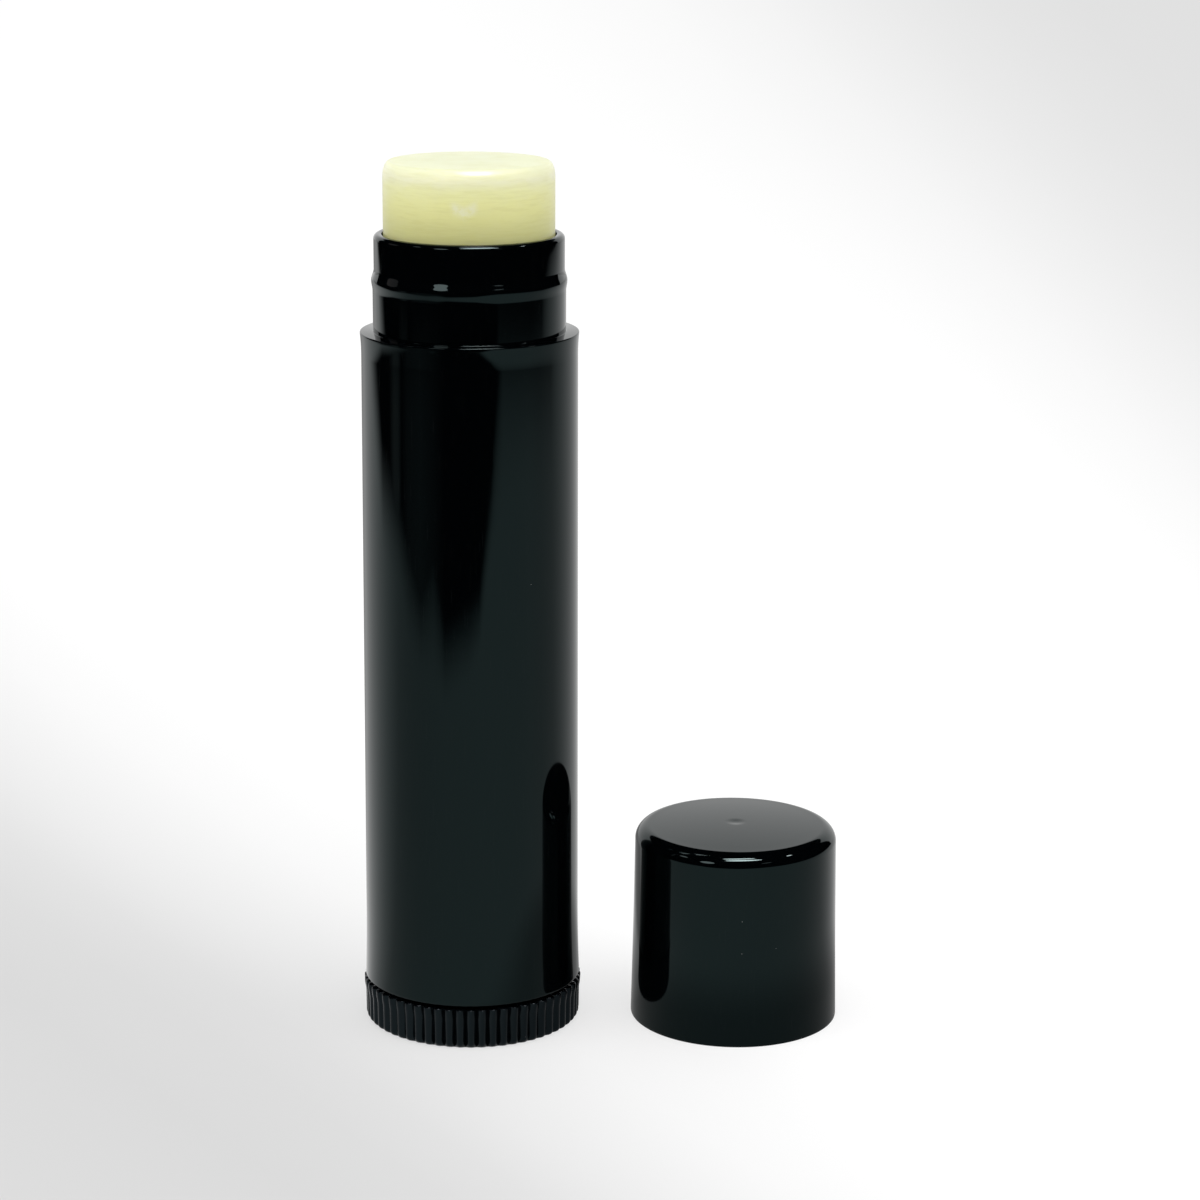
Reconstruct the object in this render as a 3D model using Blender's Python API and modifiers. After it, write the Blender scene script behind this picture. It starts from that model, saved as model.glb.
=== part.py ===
"""Twist-up lip balm stick, cap off and standing beside it.

Five moulded or cast pieces: the barrel, the knurled base wheel with its
threaded spindle, the elevator that the spindle drives, the balm cast on the
elevator, and the push-on cap. Turning the wheel clockwise, seen from below,
runs the elevator up the left-hand thread. Guide ribs in the barrel's bore
stop the elevator from turning.

Metres, +Z up. The origin is the middle of the footprint that the tube and
the cap share, on the surface that they stand on.
"""

import bmesh
import bpy
from math import cos, pi, radians, sin
from mathutils import Matrix

MM = 0.001
FULL_TURN = 2 * pi

# How the two pieces stand
AXIS_SPACING = 20.0 * MM
CAP_SETBACK = 0.31 * MM

# Gaps between pieces
SEAM_GAP = 0.30 * MM
CAST_GAP = 0.30 * MM
BALM_CLEARANCE = 0.11 * MM
SLIDE_CLEARANCE = 0.20 * MM
THREAD_CLEARANCE = 0.24 * MM
TURN_CLEARANCE = 0.15 * MM
PUSH_CLEARANCE = 0.04 * MM

# Barrel
BORE_RADIUS = 6.35 * MM
BARREL_WALL = 1.65 * MM
BARREL_LENGTH = 49.39 * MM
LABEL_RECESS = 0.08 * MM
LABEL_DRAFT = 0.12 * MM
FOOT_FLARE = 0.15 * MM
TOP_FLARE_HEIGHT = 1.70 * MM
FOOT_FLARE_HEIGHT = 5.60 * MM
SHOULDER_EDGE = 0.08 * MM

# Neck, with the bead that holds the cap
NECK_LENGTH = 7.13 * MM
NECK_WALL = 0.59 * MM
NECK_ROOT_STEP = 0.10 * MM
NECK_RIM_ROUND = 0.35 * MM
NECK_BEAD_RISE = 0.13 * MM
NECK_BEAD_SPAN = 1.70 * MM
NECK_BEAD_PLACE_SHARE = 0.523

# Guide ribs in the bore
RIB_COUNT = 4
RIB_WIDTH = 0.70 * MM
RIB_HEIGHT = 0.40 * MM
RIB_TOP_BELOW_RIM = 5.90 * MM
RIB_LEAD_IN = 0.80 * MM

# Base wheel
WHEEL_HEIGHT = 3.08 * MM
WHEEL_LIP = 0.11 * MM
WHEEL_LIP_DROP = 1.10 * MM
WHEEL_SIDE_STEP = 0.10 * MM
WHEEL_SIDE_DRAFT = 0.02 * MM
WHEEL_FOOT_ROUND = 0.40 * MM
KNURL_COUNT = 60
KNURL_DEPTH = 0.30 * MM
KNURL_MOUTH_SHARE = 0.46
KNURL_FLOOR_SHARE = 0.12
FOOT_RING_WIDTH = 0.95 * MM
UNDERSIDE_RECESS = 0.80 * MM
WHEEL_FLOOR = 1.30 * MM
GATE_RADIUS = 1.10 * MM
GATE_DIMPLE = 0.25 * MM

# Collar that snaps into the barrel's foot
COLLAR_HEIGHT = 3.20 * MM
COLLAR_WALL = 1.15 * MM
COLLAR_LEAD_IN = 0.35 * MM
SNAP_RISE = 0.30 * MM
SNAP_SPAN = 0.90 * MM
SNAP_PLACE_SHARE = 0.62
BORE_LEAD_IN = 0.45 * MM

# Spindle and its left-hand thread
THREAD_PITCH = 2.50 * MM
THREAD_DEPTH = 0.75 * MM
THREAD_ROOT_SHARE = 0.44
THREAD_CREST_SHARE = 0.22
CORE_RADIUS = 1.70 * MM
FLAT_DEPTH = 0.12 * MM
SPINDLE_ROOT_FLARE = 0.70 * MM
SPINDLE_TIP_BELOW_RIM = 4.90 * MM
SPINDLE_TIP_CONE = 0.90 * MM

# Elevator
LOWEST_GAP = 0.50 * MM
RAISED_TURNS = 2
SKIRT_HEIGHT = 7.00 * MM
SKIRT_WALL = 0.90 * MM
ELEVATOR_FLOOR = 1.00 * MM
HUB_HEIGHT = 4.00 * MM
HUB_WALL = 0.90 * MM
WEB_COUNT = 4
WEB_WIDTH = 0.70 * MM
WEB_BELOW_SKIRT_TOP = 1.80 * MM
WEB_BELOW_HUB_TOP = 0.40 * MM
SKIRT_EDGE = 0.20 * MM

# Balm
FILL_ABOVE_RIM = 0.30 * MM
BALM_EDGE_ROUND = 0.95 * MM
BALM_CROWN = 0.06 * MM
BORE_END_GAP = 0.50 * MM

# Cap
CAP_HEIGHT = 14.95 * MM
CAP_WALL = 0.70 * MM
CAP_TOP_WALL = 1.05 * MM
CAP_CROWN = 0.28 * MM
CAP_DRAFT = 0.24 * MM
CAP_DRAFT_BREAK_SHARE = 0.38
CAP_EDGE_ROUND = 1.10 * MM
CAP_INNER_ROUND = 0.80 * MM
CAP_MOUTH_EDGE = 0.10 * MM
CAP_MOUTH_LEAD_IN = 0.14 * MM
CAP_BEAD_RISE = 0.10 * MM
CAP_BEAD_SPAN = 1.40 * MM
CAP_DIMPLE_RADIUS = 0.80 * MM
CAP_DIMPLE_DEPTH = 0.10 * MM

# How finely round shapes are divided
TURNED_STEPS = 48
THREAD_STEPS = 16
ARC_STEPS = 4
BEAD_STEPS = 6

# How far a cutter runs past what it cuts, and a joined shape into its carrier
OVERRUN = 0.50 * MM
SUNK = 0.25 * MM
WELD = 0.001 * MM

# Heights on the tube, from the surface that it stands on
BARREL_FOOT_Z = WHEEL_HEIGHT + SEAM_GAP
SHOULDER_Z = BARREL_FOOT_Z + BARREL_LENGTH
RIM_Z = SHOULDER_Z + NECK_LENGTH
COLLAR_TOP_Z = WHEEL_HEIGHT + COLLAR_HEIGHT
SNAP_Z = WHEEL_HEIGHT + COLLAR_HEIGHT * SNAP_PLACE_SHARE
RIB_TOP_Z = RIM_Z - RIB_TOP_BELOW_RIM
SPINDLE_ROOT_Z = COLLAR_TOP_Z - LOWEST_GAP
SPINDLE_TIP_Z = RIM_Z - SPINDLE_TIP_BELOW_RIM
LIFT = RAISED_TURNS * THREAD_PITCH
ELEVATOR_Z = COLLAR_TOP_Z + LOWEST_GAP + LIFT
HUB_TOP_Z = ELEVATOR_Z + HUB_HEIGHT
CAST_Z = ELEVATOR_Z + SKIRT_HEIGHT + CAST_GAP
BALM_TOP_Z = RIM_Z + FILL_ABOVE_RIM + LIFT

# Radii on the tube
SHOULDER_RADIUS = BORE_RADIUS + BARREL_WALL
LABEL_TOP_RADIUS = SHOULDER_RADIUS - LABEL_RECESS
LABEL_FOOT_RADIUS = LABEL_TOP_RADIUS + LABEL_DRAFT
BARREL_FOOT_RADIUS = SHOULDER_RADIUS + FOOT_FLARE
NECK_RADIUS = BORE_RADIUS + NECK_WALL
NECK_ROOT_RADIUS = NECK_RADIUS + NECK_ROOT_STEP
NECK_BEAD_RADIUS = (NECK_RADIUS + NECK_ROOT_RADIUS) / 2 + NECK_BEAD_RISE
WHEEL_RADIUS = BARREL_FOOT_RADIUS + WHEEL_LIP
WHEEL_SIDE_RADIUS = WHEEL_RADIUS - WHEEL_SIDE_STEP
WHEEL_FOOT_RADIUS = WHEEL_SIDE_RADIUS - WHEEL_SIDE_DRAFT
RECESS_RADIUS = WHEEL_FOOT_RADIUS - WHEEL_FOOT_ROUND - FOOT_RING_WIDTH
COLLAR_RADIUS = BORE_RADIUS - TURN_CLEARANCE
SNAP_RADIUS = COLLAR_RADIUS + SNAP_RISE
THREAD_RADIUS = CORE_RADIUS + THREAD_DEPTH
SKIRT_RADIUS = BORE_RADIUS - SLIDE_CLEARANCE
CUP_RADIUS = SKIRT_RADIUS - SKIRT_WALL
NUT_RADIUS = THREAD_RADIUS + THREAD_CLEARANCE
HUB_RADIUS = NUT_RADIUS + HUB_WALL
BALM_RADIUS = BORE_RADIUS - BALM_CLEARANCE

# The slots that clear the guide ribs
RIB_START = FULL_TURN / 8
RIB_SLOT_RADIUS = BORE_RADIUS - RIB_HEIGHT - SLIDE_CLEARANCE
RIB_SLOT_WIDTH = RIB_WIDTH + 2 * SLIDE_CLEARANCE

# Radii on the cap
CAP_INNER_RADIUS = NECK_BEAD_RADIUS + PUSH_CLEARANCE
CAP_RADIUS = CAP_INNER_RADIUS + CAP_WALL

# Where the two axes stand, so that the pair's footprint is centred
TUBE_X = (WHEEL_RADIUS - CAP_RADIUS - AXIS_SPACING) / 2
CAP_X = TUBE_X + AXIS_SPACING


def clear_scene():
    """Remove every object that the scene starts with."""
    for obj in list(bpy.data.objects):
        bpy.data.objects.remove(obj)


def make_collection(name):
    """Add a collection to the scene."""
    collection = bpy.data.collections.new(name)
    bpy.context.scene.collection.children.link(collection)
    return collection


def make_material(name, colour, roughness):
    """Make a plain plastic or wax material."""
    material = bpy.data.materials.new(name)
    material.use_nodes = True
    surface = material.node_tree.nodes["Principled BSDF"]
    surface.inputs["Base Color"].default_value = (*colour, 1)
    surface.inputs["Roughness"].default_value = roughness
    surface.inputs["Metallic"].default_value = 0
    return material


def make_axis(name, x, y):
    """Add the empty that stands on the surface at a piece's own axis."""
    axis = bpy.data.objects.new(name, None)
    axis.empty_display_size = BORE_RADIUS
    axis.location = (x, y, 0)
    parts.objects.link(axis)
    return axis


def make_object(name, mesh, axis, collection):
    """Put a mesh in the scene on one of the axes."""
    obj = bpy.data.objects.new(name, mesh)
    obj.parent = axis
    collection.objects.link(obj)
    if collection == cutters:
        obj.hide_render = True
        obj.display_type = "WIRE"
    return obj


def apply_modifiers(obj):
    """Keep the shape that the object's modifiers make, as its own mesh."""
    bpy.context.view_layer.update()
    graph = bpy.context.evaluated_depsgraph_get()
    mesh = bpy.data.meshes.new_from_object(obj.evaluated_get(graph))
    mesh.name = obj.name
    obj.modifiers.clear()
    obj.data = mesh


def combine(obj, other, operation):
    """Join, cut or trim the object with another one, and keep the result."""
    step = obj.modifiers.new(operation.lower(), "BOOLEAN")
    step.solver = "EXACT"
    step.operation = operation
    step.object = other
    apply_modifiers(obj)


def finish(obj, material, height):
    """Give a piece its material, its smooth shading and its own origin.

    The piece is modelled from the standing surface up. Its origin moves to
    the given height on its axis, and the shape stays where it is.
    """
    obj.data.transform(Matrix.Translation((0, 0, -height)))
    obj.location.z = height
    obj.data.materials.clear()
    obj.data.materials.append(material)
    obj.data.shade_smooth()
    obj.data.set_sharp_from_angle(angle=radians(35))


def turned(name, outline, steps, axis, collection):
    """Turn an outline of (radius, height) points about the axis.

    The outline starts and ends on the axis, or else it is closed into a
    ring. It runs outward at the top and down the outer side.
    """
    mesh = bpy.data.meshes.new(name)
    on_axis = outline[0][0] == 0
    last = len(outline)
    edges = [(i, i + 1) for i in range(last - 1)]
    if not on_axis:
        edges.append((last - 1, 0))
    mesh.from_pydata([(r, 0, z) for r, z in outline], edges, [])
    obj = make_object(name, mesh, axis, collection)
    screw = obj.modifiers.new("turn", "SCREW")
    screw.axis = "Z"
    screw.angle = FULL_TURN
    screw.steps = steps
    screw.render_steps = steps
    screw.use_merge_vertices = True
    screw.merge_threshold = WELD
    apply_modifiers(obj)
    tidy(obj.data)
    return obj


def tidy(mesh):
    """Weld coinciding points and turn every face outward."""
    shape = bmesh.new()
    shape.from_mesh(mesh)
    bmesh.ops.remove_doubles(shape, verts=shape.verts, dist=WELD)
    bmesh.ops.recalc_face_normals(shape, faces=shape.faces)
    shape.to_mesh(mesh)
    shape.free()


def arc(centre_r, centre_z, radius, start, end, steps=ARC_STEPS):
    """Points of an arc in an outline, at angles in degrees from outward."""
    points = []
    for i in range(steps + 1):
        angle = radians(start + (end - start) * i / steps)
        points.append((centre_r + radius * cos(angle), centre_z + radius * sin(angle)))
    return points


def bump(top_r, foot_r, middle_z, span, rise, steps=BEAD_STEPS):
    """Outline points of a smooth bead, from its top edge to its foot."""
    points = []
    for i in range(steps + 1):
        share = i / steps
        base = top_r + (foot_r - top_r) * share
        swell = rise * (1 - cos(FULL_TURN * share)) / 2
        points.append((base + swell, middle_z + span * (0.5 - share)))
    return points


def radial_slabs(name, corners, count, start, axis):
    """Slabs standing out from the axis, spaced evenly round it.

    A corner is a radius, a height and the slab's width there.
    """
    shape = bmesh.new()
    for i in range(count):
        turn = Matrix.Rotation(start + FULL_TURN * i / count, 3, "Z")
        near = [shape.verts.new((r, -width / 2, z)) for r, z, width in corners]
        side = shape.faces.new(near)
        swept = bmesh.ops.extrude_face_region(shape, geom=[side])["geom"]
        far = [v for v in swept if isinstance(v, bmesh.types.BMVert)]
        for corner in far:
            corner.co.y = -corner.co.y
        bmesh.ops.rotate(shape, verts=near + far, cent=(0, 0, 0), matrix=turn)
    bmesh.ops.recalc_face_normals(shape, faces=shape.faces)
    mesh = bpy.data.meshes.new(name)
    shape.to_mesh(mesh)
    shape.free()
    return make_object(name, mesh, axis, cutters)


def upright(inner, outer, low, high, width):
    """Corners of a plain slab between two radii and two heights."""
    return [(inner, low, width), (outer, low, width), (outer, high, width), (inner, high, width)]


def threaded_rod(name, play, low, high, axis):
    """A rod with the spindle's left-hand thread, larger all round by play.

    One pitch of the outline is swept up the helix, which passes the same
    angle at every whole pitch above the standing surface, so the spindle
    and the nut cut by such a rod are always in mesh.
    """
    core = CORE_RADIUS + play
    crest = THREAD_RADIUS + play
    half_root = THREAD_PITCH * THREAD_ROOT_SHARE / 2 + play
    half_crest = THREAD_PITCH * THREAD_CREST_SHARE / 2 + play
    first = int(low / THREAD_PITCH) - 2
    turns = int((high - low) / THREAD_PITCH) + 4
    start = first * THREAD_PITCH
    outline = [
        (core, start + half_root),
        (core, start + THREAD_PITCH - half_root),
        (crest, start + THREAD_PITCH - half_crest),
        (crest, start + THREAD_PITCH + half_crest),
        (core, start + THREAD_PITCH + half_root),
    ]
    mesh = bpy.data.meshes.new(name)
    edges = [(i, i + 1) for i in range(len(outline) - 1)]
    mesh.from_pydata([(r, 0, z) for r, z in outline], edges, [])
    obj = make_object(name, mesh, axis, cutters)
    screw = obj.modifiers.new("helix", "SCREW")
    screw.axis = "Z"
    screw.angle = -FULL_TURN
    screw.screw_offset = THREAD_PITCH
    screw.iterations = turns
    screw.steps = THREAD_STEPS
    screw.render_steps = THREAD_STEPS
    apply_modifiers(obj)
    tidy(obj.data)
    trim_level(obj.data, low, high)
    return obj


def trim_level(mesh, low, high):
    """Cut an open tube level at two heights and close both ends."""
    shape = bmesh.new()
    shape.from_mesh(mesh)
    for height, keep_above in ((low, True), (high, False)):
        everything = shape.verts[:] + shape.edges[:] + shape.faces[:]
        cut = bmesh.ops.bisect_plane(
            shape,
            geom=everything,
            dist=0,
            plane_co=(0, 0, height),
            plane_no=(0, 0, 1),
            clear_inner=keep_above,
            clear_outer=not keep_above,
        )
        rim = [e for e in cut["geom_cut"] if isinstance(e, bmesh.types.BMEdge)]
        bmesh.ops.edgeloop_fill(shape, edges=rim)
    bmesh.ops.recalc_face_normals(shape, faces=shape.faces)
    shape.to_mesh(mesh)
    shape.free()


def barrel_outline():
    """The barrel's wall: neck, cap bead, shoulder, label recess and foot."""
    bead_z = SHOULDER_Z + NECK_LENGTH * NECK_BEAD_PLACE_SHARE
    rim = arc(NECK_RADIUS - NECK_RIM_ROUND, RIM_Z - NECK_RIM_ROUND, NECK_RIM_ROUND, 90, 0)
    bead = bump(NECK_RADIUS, NECK_ROOT_RADIUS, bead_z, NECK_BEAD_SPAN, NECK_BEAD_RISE)
    body = [
        (NECK_ROOT_RADIUS, SHOULDER_Z),
        (SHOULDER_RADIUS - SHOULDER_EDGE, SHOULDER_Z),
        (SHOULDER_RADIUS, SHOULDER_Z - SHOULDER_EDGE),
        (LABEL_TOP_RADIUS + LABEL_RECESS / 3, SHOULDER_Z - TOP_FLARE_HEIGHT / 2),
        (LABEL_TOP_RADIUS, SHOULDER_Z - TOP_FLARE_HEIGHT),
        (LABEL_FOOT_RADIUS, BARREL_FOOT_Z + FOOT_FLARE_HEIGHT),
        (LABEL_FOOT_RADIUS + FOOT_FLARE / 3, BARREL_FOOT_Z + FOOT_FLARE_HEIGHT / 2),
        (BARREL_FOOT_RADIUS, BARREL_FOOT_Z),
    ]
    snap_half = SNAP_SPAN / 2 + TURN_CLEARANCE
    snap_seat = SNAP_RADIUS + TURN_CLEARANCE
    bore = [
        (BORE_RADIUS + BORE_LEAD_IN, BARREL_FOOT_Z),
        (BORE_RADIUS, BARREL_FOOT_Z + BORE_LEAD_IN),
        (BORE_RADIUS, SNAP_Z - snap_half),
        (snap_seat, SNAP_Z - snap_half / 2),
        (snap_seat, SNAP_Z + snap_half / 2),
        (BORE_RADIUS, SNAP_Z + snap_half),
        (BORE_RADIUS, RIM_Z),
    ]
    return rim + bead + body + bore


def make_barrel():
    """Barrel with its neck, snap groove and guide ribs, one moulding."""
    barrel = turned("barrel", barrel_outline(), TURNED_STEPS, tube_axis, parts)
    tip = BORE_RADIUS - RIB_HEIGHT
    root = BORE_RADIUS + SUNK
    foot_z = COLLAR_TOP_Z + SEAM_GAP
    corners = [
        (root, foot_z, RIB_WIDTH),
        (tip, foot_z, RIB_WIDTH),
        (tip, RIB_TOP_Z - RIB_LEAD_IN, RIB_WIDTH),
        (root, RIB_TOP_Z, RIB_WIDTH),
    ]
    ribs = radial_slabs("guide_ribs", corners, RIB_COUNT, RIB_START, tube_axis)
    combine(barrel, ribs, "UNION")
    finish(barrel, black_plastic, BARREL_FOOT_Z)


def wheel_outline():
    """Half section of the wheel, its collar and the root of the spindle."""
    well_z = UNDERSIDE_RECESS + WHEEL_FLOOR
    collar_inner = COLLAR_RADIUS - COLLAR_WALL
    inside = [
        (0, SPINDLE_ROOT_Z),
        (CORE_RADIUS, SPINDLE_ROOT_Z),
        (CORE_RADIUS + SPINDLE_ROOT_FLARE, well_z),
        (collar_inner, well_z),
        (collar_inner, COLLAR_TOP_Z),
        (COLLAR_RADIUS - COLLAR_LEAD_IN, COLLAR_TOP_Z),
        (COLLAR_RADIUS, COLLAR_TOP_Z - COLLAR_LEAD_IN),
    ]
    snap = [
        (COLLAR_RADIUS, SNAP_Z + SNAP_SPAN / 2),
        (SNAP_RADIUS, SNAP_Z + SNAP_SPAN / 4),
        (SNAP_RADIUS, SNAP_Z - SNAP_SPAN / 4),
        (COLLAR_RADIUS, SNAP_Z - SNAP_SPAN / 2),
        (COLLAR_RADIUS, WHEEL_HEIGHT),
    ]
    side = [
        (WHEEL_RADIUS, WHEEL_HEIGHT),
        (WHEEL_SIDE_RADIUS, WHEEL_HEIGHT - WHEEL_LIP_DROP),
    ]
    foot_centre = WHEEL_FOOT_RADIUS - WHEEL_FOOT_ROUND
    foot = arc(foot_centre, WHEEL_FOOT_ROUND, WHEEL_FOOT_ROUND, 0, -90, ARC_STEPS - 1)
    underside = [
        (RECESS_RADIUS, 0),
        (RECESS_RADIUS - UNDERSIDE_RECESS / 2, UNDERSIDE_RECESS),
        (GATE_RADIUS, UNDERSIDE_RECESS),
        (GATE_RADIUS, UNDERSIDE_RECESS + GATE_DIMPLE),
        (0, UNDERSIDE_RECESS + GATE_DIMPLE),
    ]
    return inside + snap + side + foot + underside


def make_knurl_cutter():
    """Upright grooves in the wheel's side, wider at the mouth than inside.

    They lean inward with the side and run out in its rounded foot.
    """
    pitch = FULL_TURN * WHEEL_RADIUS / KNURL_COUNT
    floor = pitch * KNURL_FLOOR_SHARE
    mouth = pitch * KNURL_MOUTH_SHARE
    outer = floor + (mouth - floor) * (KNURL_DEPTH + OVERRUN) / KNURL_DEPTH
    lean = (WHEEL_RADIUS - WHEEL_FOOT_RADIUS) / WHEEL_HEIGHT * OVERRUN
    top_r = WHEEL_RADIUS - KNURL_DEPTH + lean
    foot_r = WHEEL_FOOT_RADIUS - KNURL_DEPTH - lean
    reach = KNURL_DEPTH + OVERRUN
    corners = [
        (foot_r, -OVERRUN, floor),
        (foot_r + reach, -OVERRUN, outer),
        (top_r + reach, WHEEL_HEIGHT + OVERRUN, outer),
        (top_r, WHEEL_HEIGHT + OVERRUN, floor),
    ]
    half_pitch = FULL_TURN / KNURL_COUNT / 2
    return radial_slabs("knurl_grooves", corners, KNURL_COUNT, half_pitch, tube_axis)


def make_spindle(low_z):
    """The threaded spindle, with a flat on two sides and a pilot cone."""
    past_tip_z = SPINDLE_TIP_Z + OVERRUN
    below_z = low_z - OVERRUN
    reach = THREAD_RADIUS + OVERRUN
    outline = [
        (0, SPINDLE_TIP_Z),
        (CORE_RADIUS - SPINDLE_TIP_CONE / 2, SPINDLE_TIP_Z),
        (reach, SPINDLE_TIP_Z - SPINDLE_TIP_CONE - OVERRUN),
        (reach, below_z),
        (0, below_z),
    ]
    envelope = turned("spindle_envelope", outline, TURNED_STEPS, tube_axis, cutters)
    flat = CORE_RADIUS - FLAT_DEPTH
    side = upright(flat, reach + OVERRUN, below_z - OVERRUN, past_tip_z, 3 * reach)
    flats = radial_slabs("spindle_flats", side, 2, FULL_TURN / 4, tube_axis)
    combine(envelope, flats, "DIFFERENCE")
    rod = threaded_rod("spindle_thread", 0, low_z, past_tip_z, tube_axis)
    combine(rod, envelope, "INTERSECT")
    return rod


def make_base_wheel():
    """Knurled wheel, snap collar and threaded spindle, one moulding."""
    wheel = turned("base_wheel", wheel_outline(), KNURL_COUNT, tube_axis, parts)
    combine(wheel, make_knurl_cutter(), "DIFFERENCE")
    combine(wheel, make_spindle(SPINDLE_ROOT_Z - SUNK), "UNION")
    finish(wheel, black_plastic, 0)


def elevator_outline():
    """Half section of the elevator: a cup with the nut's hub inside."""
    floor_z = ELEVATOR_Z + ELEVATOR_FLOOR
    skirt_top = ELEVATOR_Z + SKIRT_HEIGHT
    return [
        (0, HUB_TOP_Z),
        (HUB_RADIUS, HUB_TOP_Z),
        (HUB_RADIUS, floor_z),
        (CUP_RADIUS, floor_z),
        (CUP_RADIUS, skirt_top),
        (SKIRT_RADIUS - SKIRT_EDGE, skirt_top),
        (SKIRT_RADIUS, skirt_top - SKIRT_EDGE),
        (SKIRT_RADIUS, ELEVATOR_Z + SKIRT_EDGE),
        (SKIRT_RADIUS - SKIRT_EDGE, ELEVATOR_Z),
        (0, ELEVATOR_Z),
    ]


def web_corners(inner, outer, low, lift, width):
    """Corners of a web from the hub to the cup's wall, raised by lift."""
    at_hub = HUB_TOP_Z - WEB_BELOW_HUB_TOP + lift
    at_wall = ELEVATOR_Z + SKIRT_HEIGHT - WEB_BELOW_SKIRT_TOP + lift
    return [(inner, low, width), (outer, low, width), (outer, at_wall, width), (inner, at_hub, width)]


def make_elevator():
    """Cup that carries the balm, with its nut, webs and rib notches."""
    elevator = turned("elevator", elevator_outline(), TURNED_STEPS, tube_axis, parts)
    sunk_z = ELEVATOR_Z + ELEVATOR_FLOOR - SUNK
    web = web_corners(HUB_RADIUS - SUNK, CUP_RADIUS + SUNK, sunk_z, 0, WEB_WIDTH)
    combine(elevator, radial_slabs("webs", web, WEB_COUNT, 0, tube_axis), "UNION")
    low = ELEVATOR_Z - OVERRUN
    high = ELEVATOR_Z + SKIRT_HEIGHT + OVERRUN
    notch = upright(RIB_SLOT_RADIUS, BORE_RADIUS, low, high, RIB_SLOT_WIDTH)
    notches = radial_slabs("rib_notches", notch, RIB_COUNT, RIB_START, tube_axis)
    combine(elevator, notches, "DIFFERENCE")
    nut = threaded_rod("nut_thread", THREAD_CLEARANCE, low, HUB_TOP_Z + OVERRUN, tube_axis)
    combine(elevator, nut, "DIFFERENCE")
    finish(elevator, black_plastic, ELEVATOR_Z)


def balm_outline():
    """Half section of the balm, from its crown to its blind bore."""
    edge_r = BALM_RADIUS - BALM_EDGE_ROUND
    crown = [(0, BALM_TOP_Z), (edge_r / 2, BALM_TOP_Z - BALM_CROWN / 4)]
    edge = arc(edge_r, BALM_TOP_Z - BALM_CROWN - BALM_EDGE_ROUND, BALM_EDGE_ROUND, 90, 0)
    plug_r = CUP_RADIUS - CAST_GAP
    hub_r = HUB_RADIUS + CAST_GAP
    bore_r = THREAD_RADIUS + CAST_GAP
    bore_end = SPINDLE_TIP_Z + LIFT + BORE_END_GAP
    below = [
        (BALM_RADIUS, CAST_Z),
        (plug_r, CAST_Z),
        (plug_r, ELEVATOR_Z + ELEVATOR_FLOOR + CAST_GAP),
        (hub_r, ELEVATOR_Z + ELEVATOR_FLOOR + CAST_GAP),
        (hub_r, HUB_TOP_Z + CAST_GAP),
        (bore_r, HUB_TOP_Z + CAST_GAP),
        (bore_r, bore_end - SPINDLE_TIP_CONE),
        (0, bore_end),
    ]
    return crown + edge + below


def make_balm():
    """Balm cast in the tube, round the webs, the spindle and the ribs."""
    balm = turned("balm", balm_outline(), TURNED_STEPS, tube_axis, parts)
    groove_top = RIB_TOP_Z + LIFT + CAST_GAP
    groove = upright(RIB_SLOT_RADIUS, BORE_RADIUS, CAST_Z - OVERRUN, groove_top, RIB_SLOT_WIDTH)
    grooves = radial_slabs("rib_grooves", groove, RIB_COUNT, RIB_START, tube_axis)
    combine(balm, grooves, "DIFFERENCE")
    web = web_corners(HUB_RADIUS, CUP_RADIUS, ELEVATOR_Z, CAST_GAP, WEB_WIDTH + 2 * CAST_GAP)
    combine(balm, radial_slabs("web_slots", web, WEB_COUNT, 0, tube_axis), "DIFFERENCE")
    finish(balm, pale_balm, ELEVATOR_Z)


def cap_outline():
    """Half section of the cap, mouth down, with its snap bead inside."""
    top_r = CAP_RADIUS - CAP_DRAFT
    flat_r = top_r - CAP_EDGE_ROUND
    crown_z = CAP_HEIGHT + CAP_CROWN
    crown = [(0, crown_z - CAP_DIMPLE_DEPTH), (CAP_DIMPLE_RADIUS / 2, crown_z - CAP_DIMPLE_DEPTH)]
    for share in (CAP_DIMPLE_RADIUS / flat_r, 1 / 3, 2 / 3):
        crown.append((flat_r * share, crown_z - CAP_CROWN * share**2))
    edge = arc(flat_r, CAP_HEIGHT - CAP_EDGE_ROUND, CAP_EDGE_ROUND, 90, 0)
    side = [
        (CAP_RADIUS - CAP_DRAFT / 2, CAP_HEIGHT * CAP_DRAFT_BREAK_SHARE),
        (CAP_RADIUS, CAP_MOUTH_EDGE),
        (CAP_RADIUS - CAP_MOUTH_EDGE, 0),
        (CAP_INNER_RADIUS + CAP_MOUTH_LEAD_IN, 0),
        (CAP_INNER_RADIUS, 2 * CAP_MOUTH_LEAD_IN),
    ]
    bead_z = NECK_LENGTH * NECK_BEAD_PLACE_SHARE - NECK_BEAD_SPAN / 2
    bead = bump(CAP_INNER_RADIUS, CAP_INNER_RADIUS, bead_z, CAP_BEAD_SPAN, -CAP_BEAD_RISE, 4)
    roof_z = CAP_HEIGHT - CAP_TOP_WALL
    roof_r = top_r - CAP_WALL
    roof = arc(roof_r - CAP_INNER_ROUND, roof_z - CAP_INNER_ROUND, CAP_INNER_ROUND, 0, 90, 2)
    return crown + edge + side + bead[::-1] + roof + [(0, roof_z)]


def make_cap():
    """The push-on cap, standing on its mouth."""
    cap = turned("cap", cap_outline(), TURNED_STEPS, cap_axis, parts)
    finish(cap, black_plastic, 0)


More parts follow.
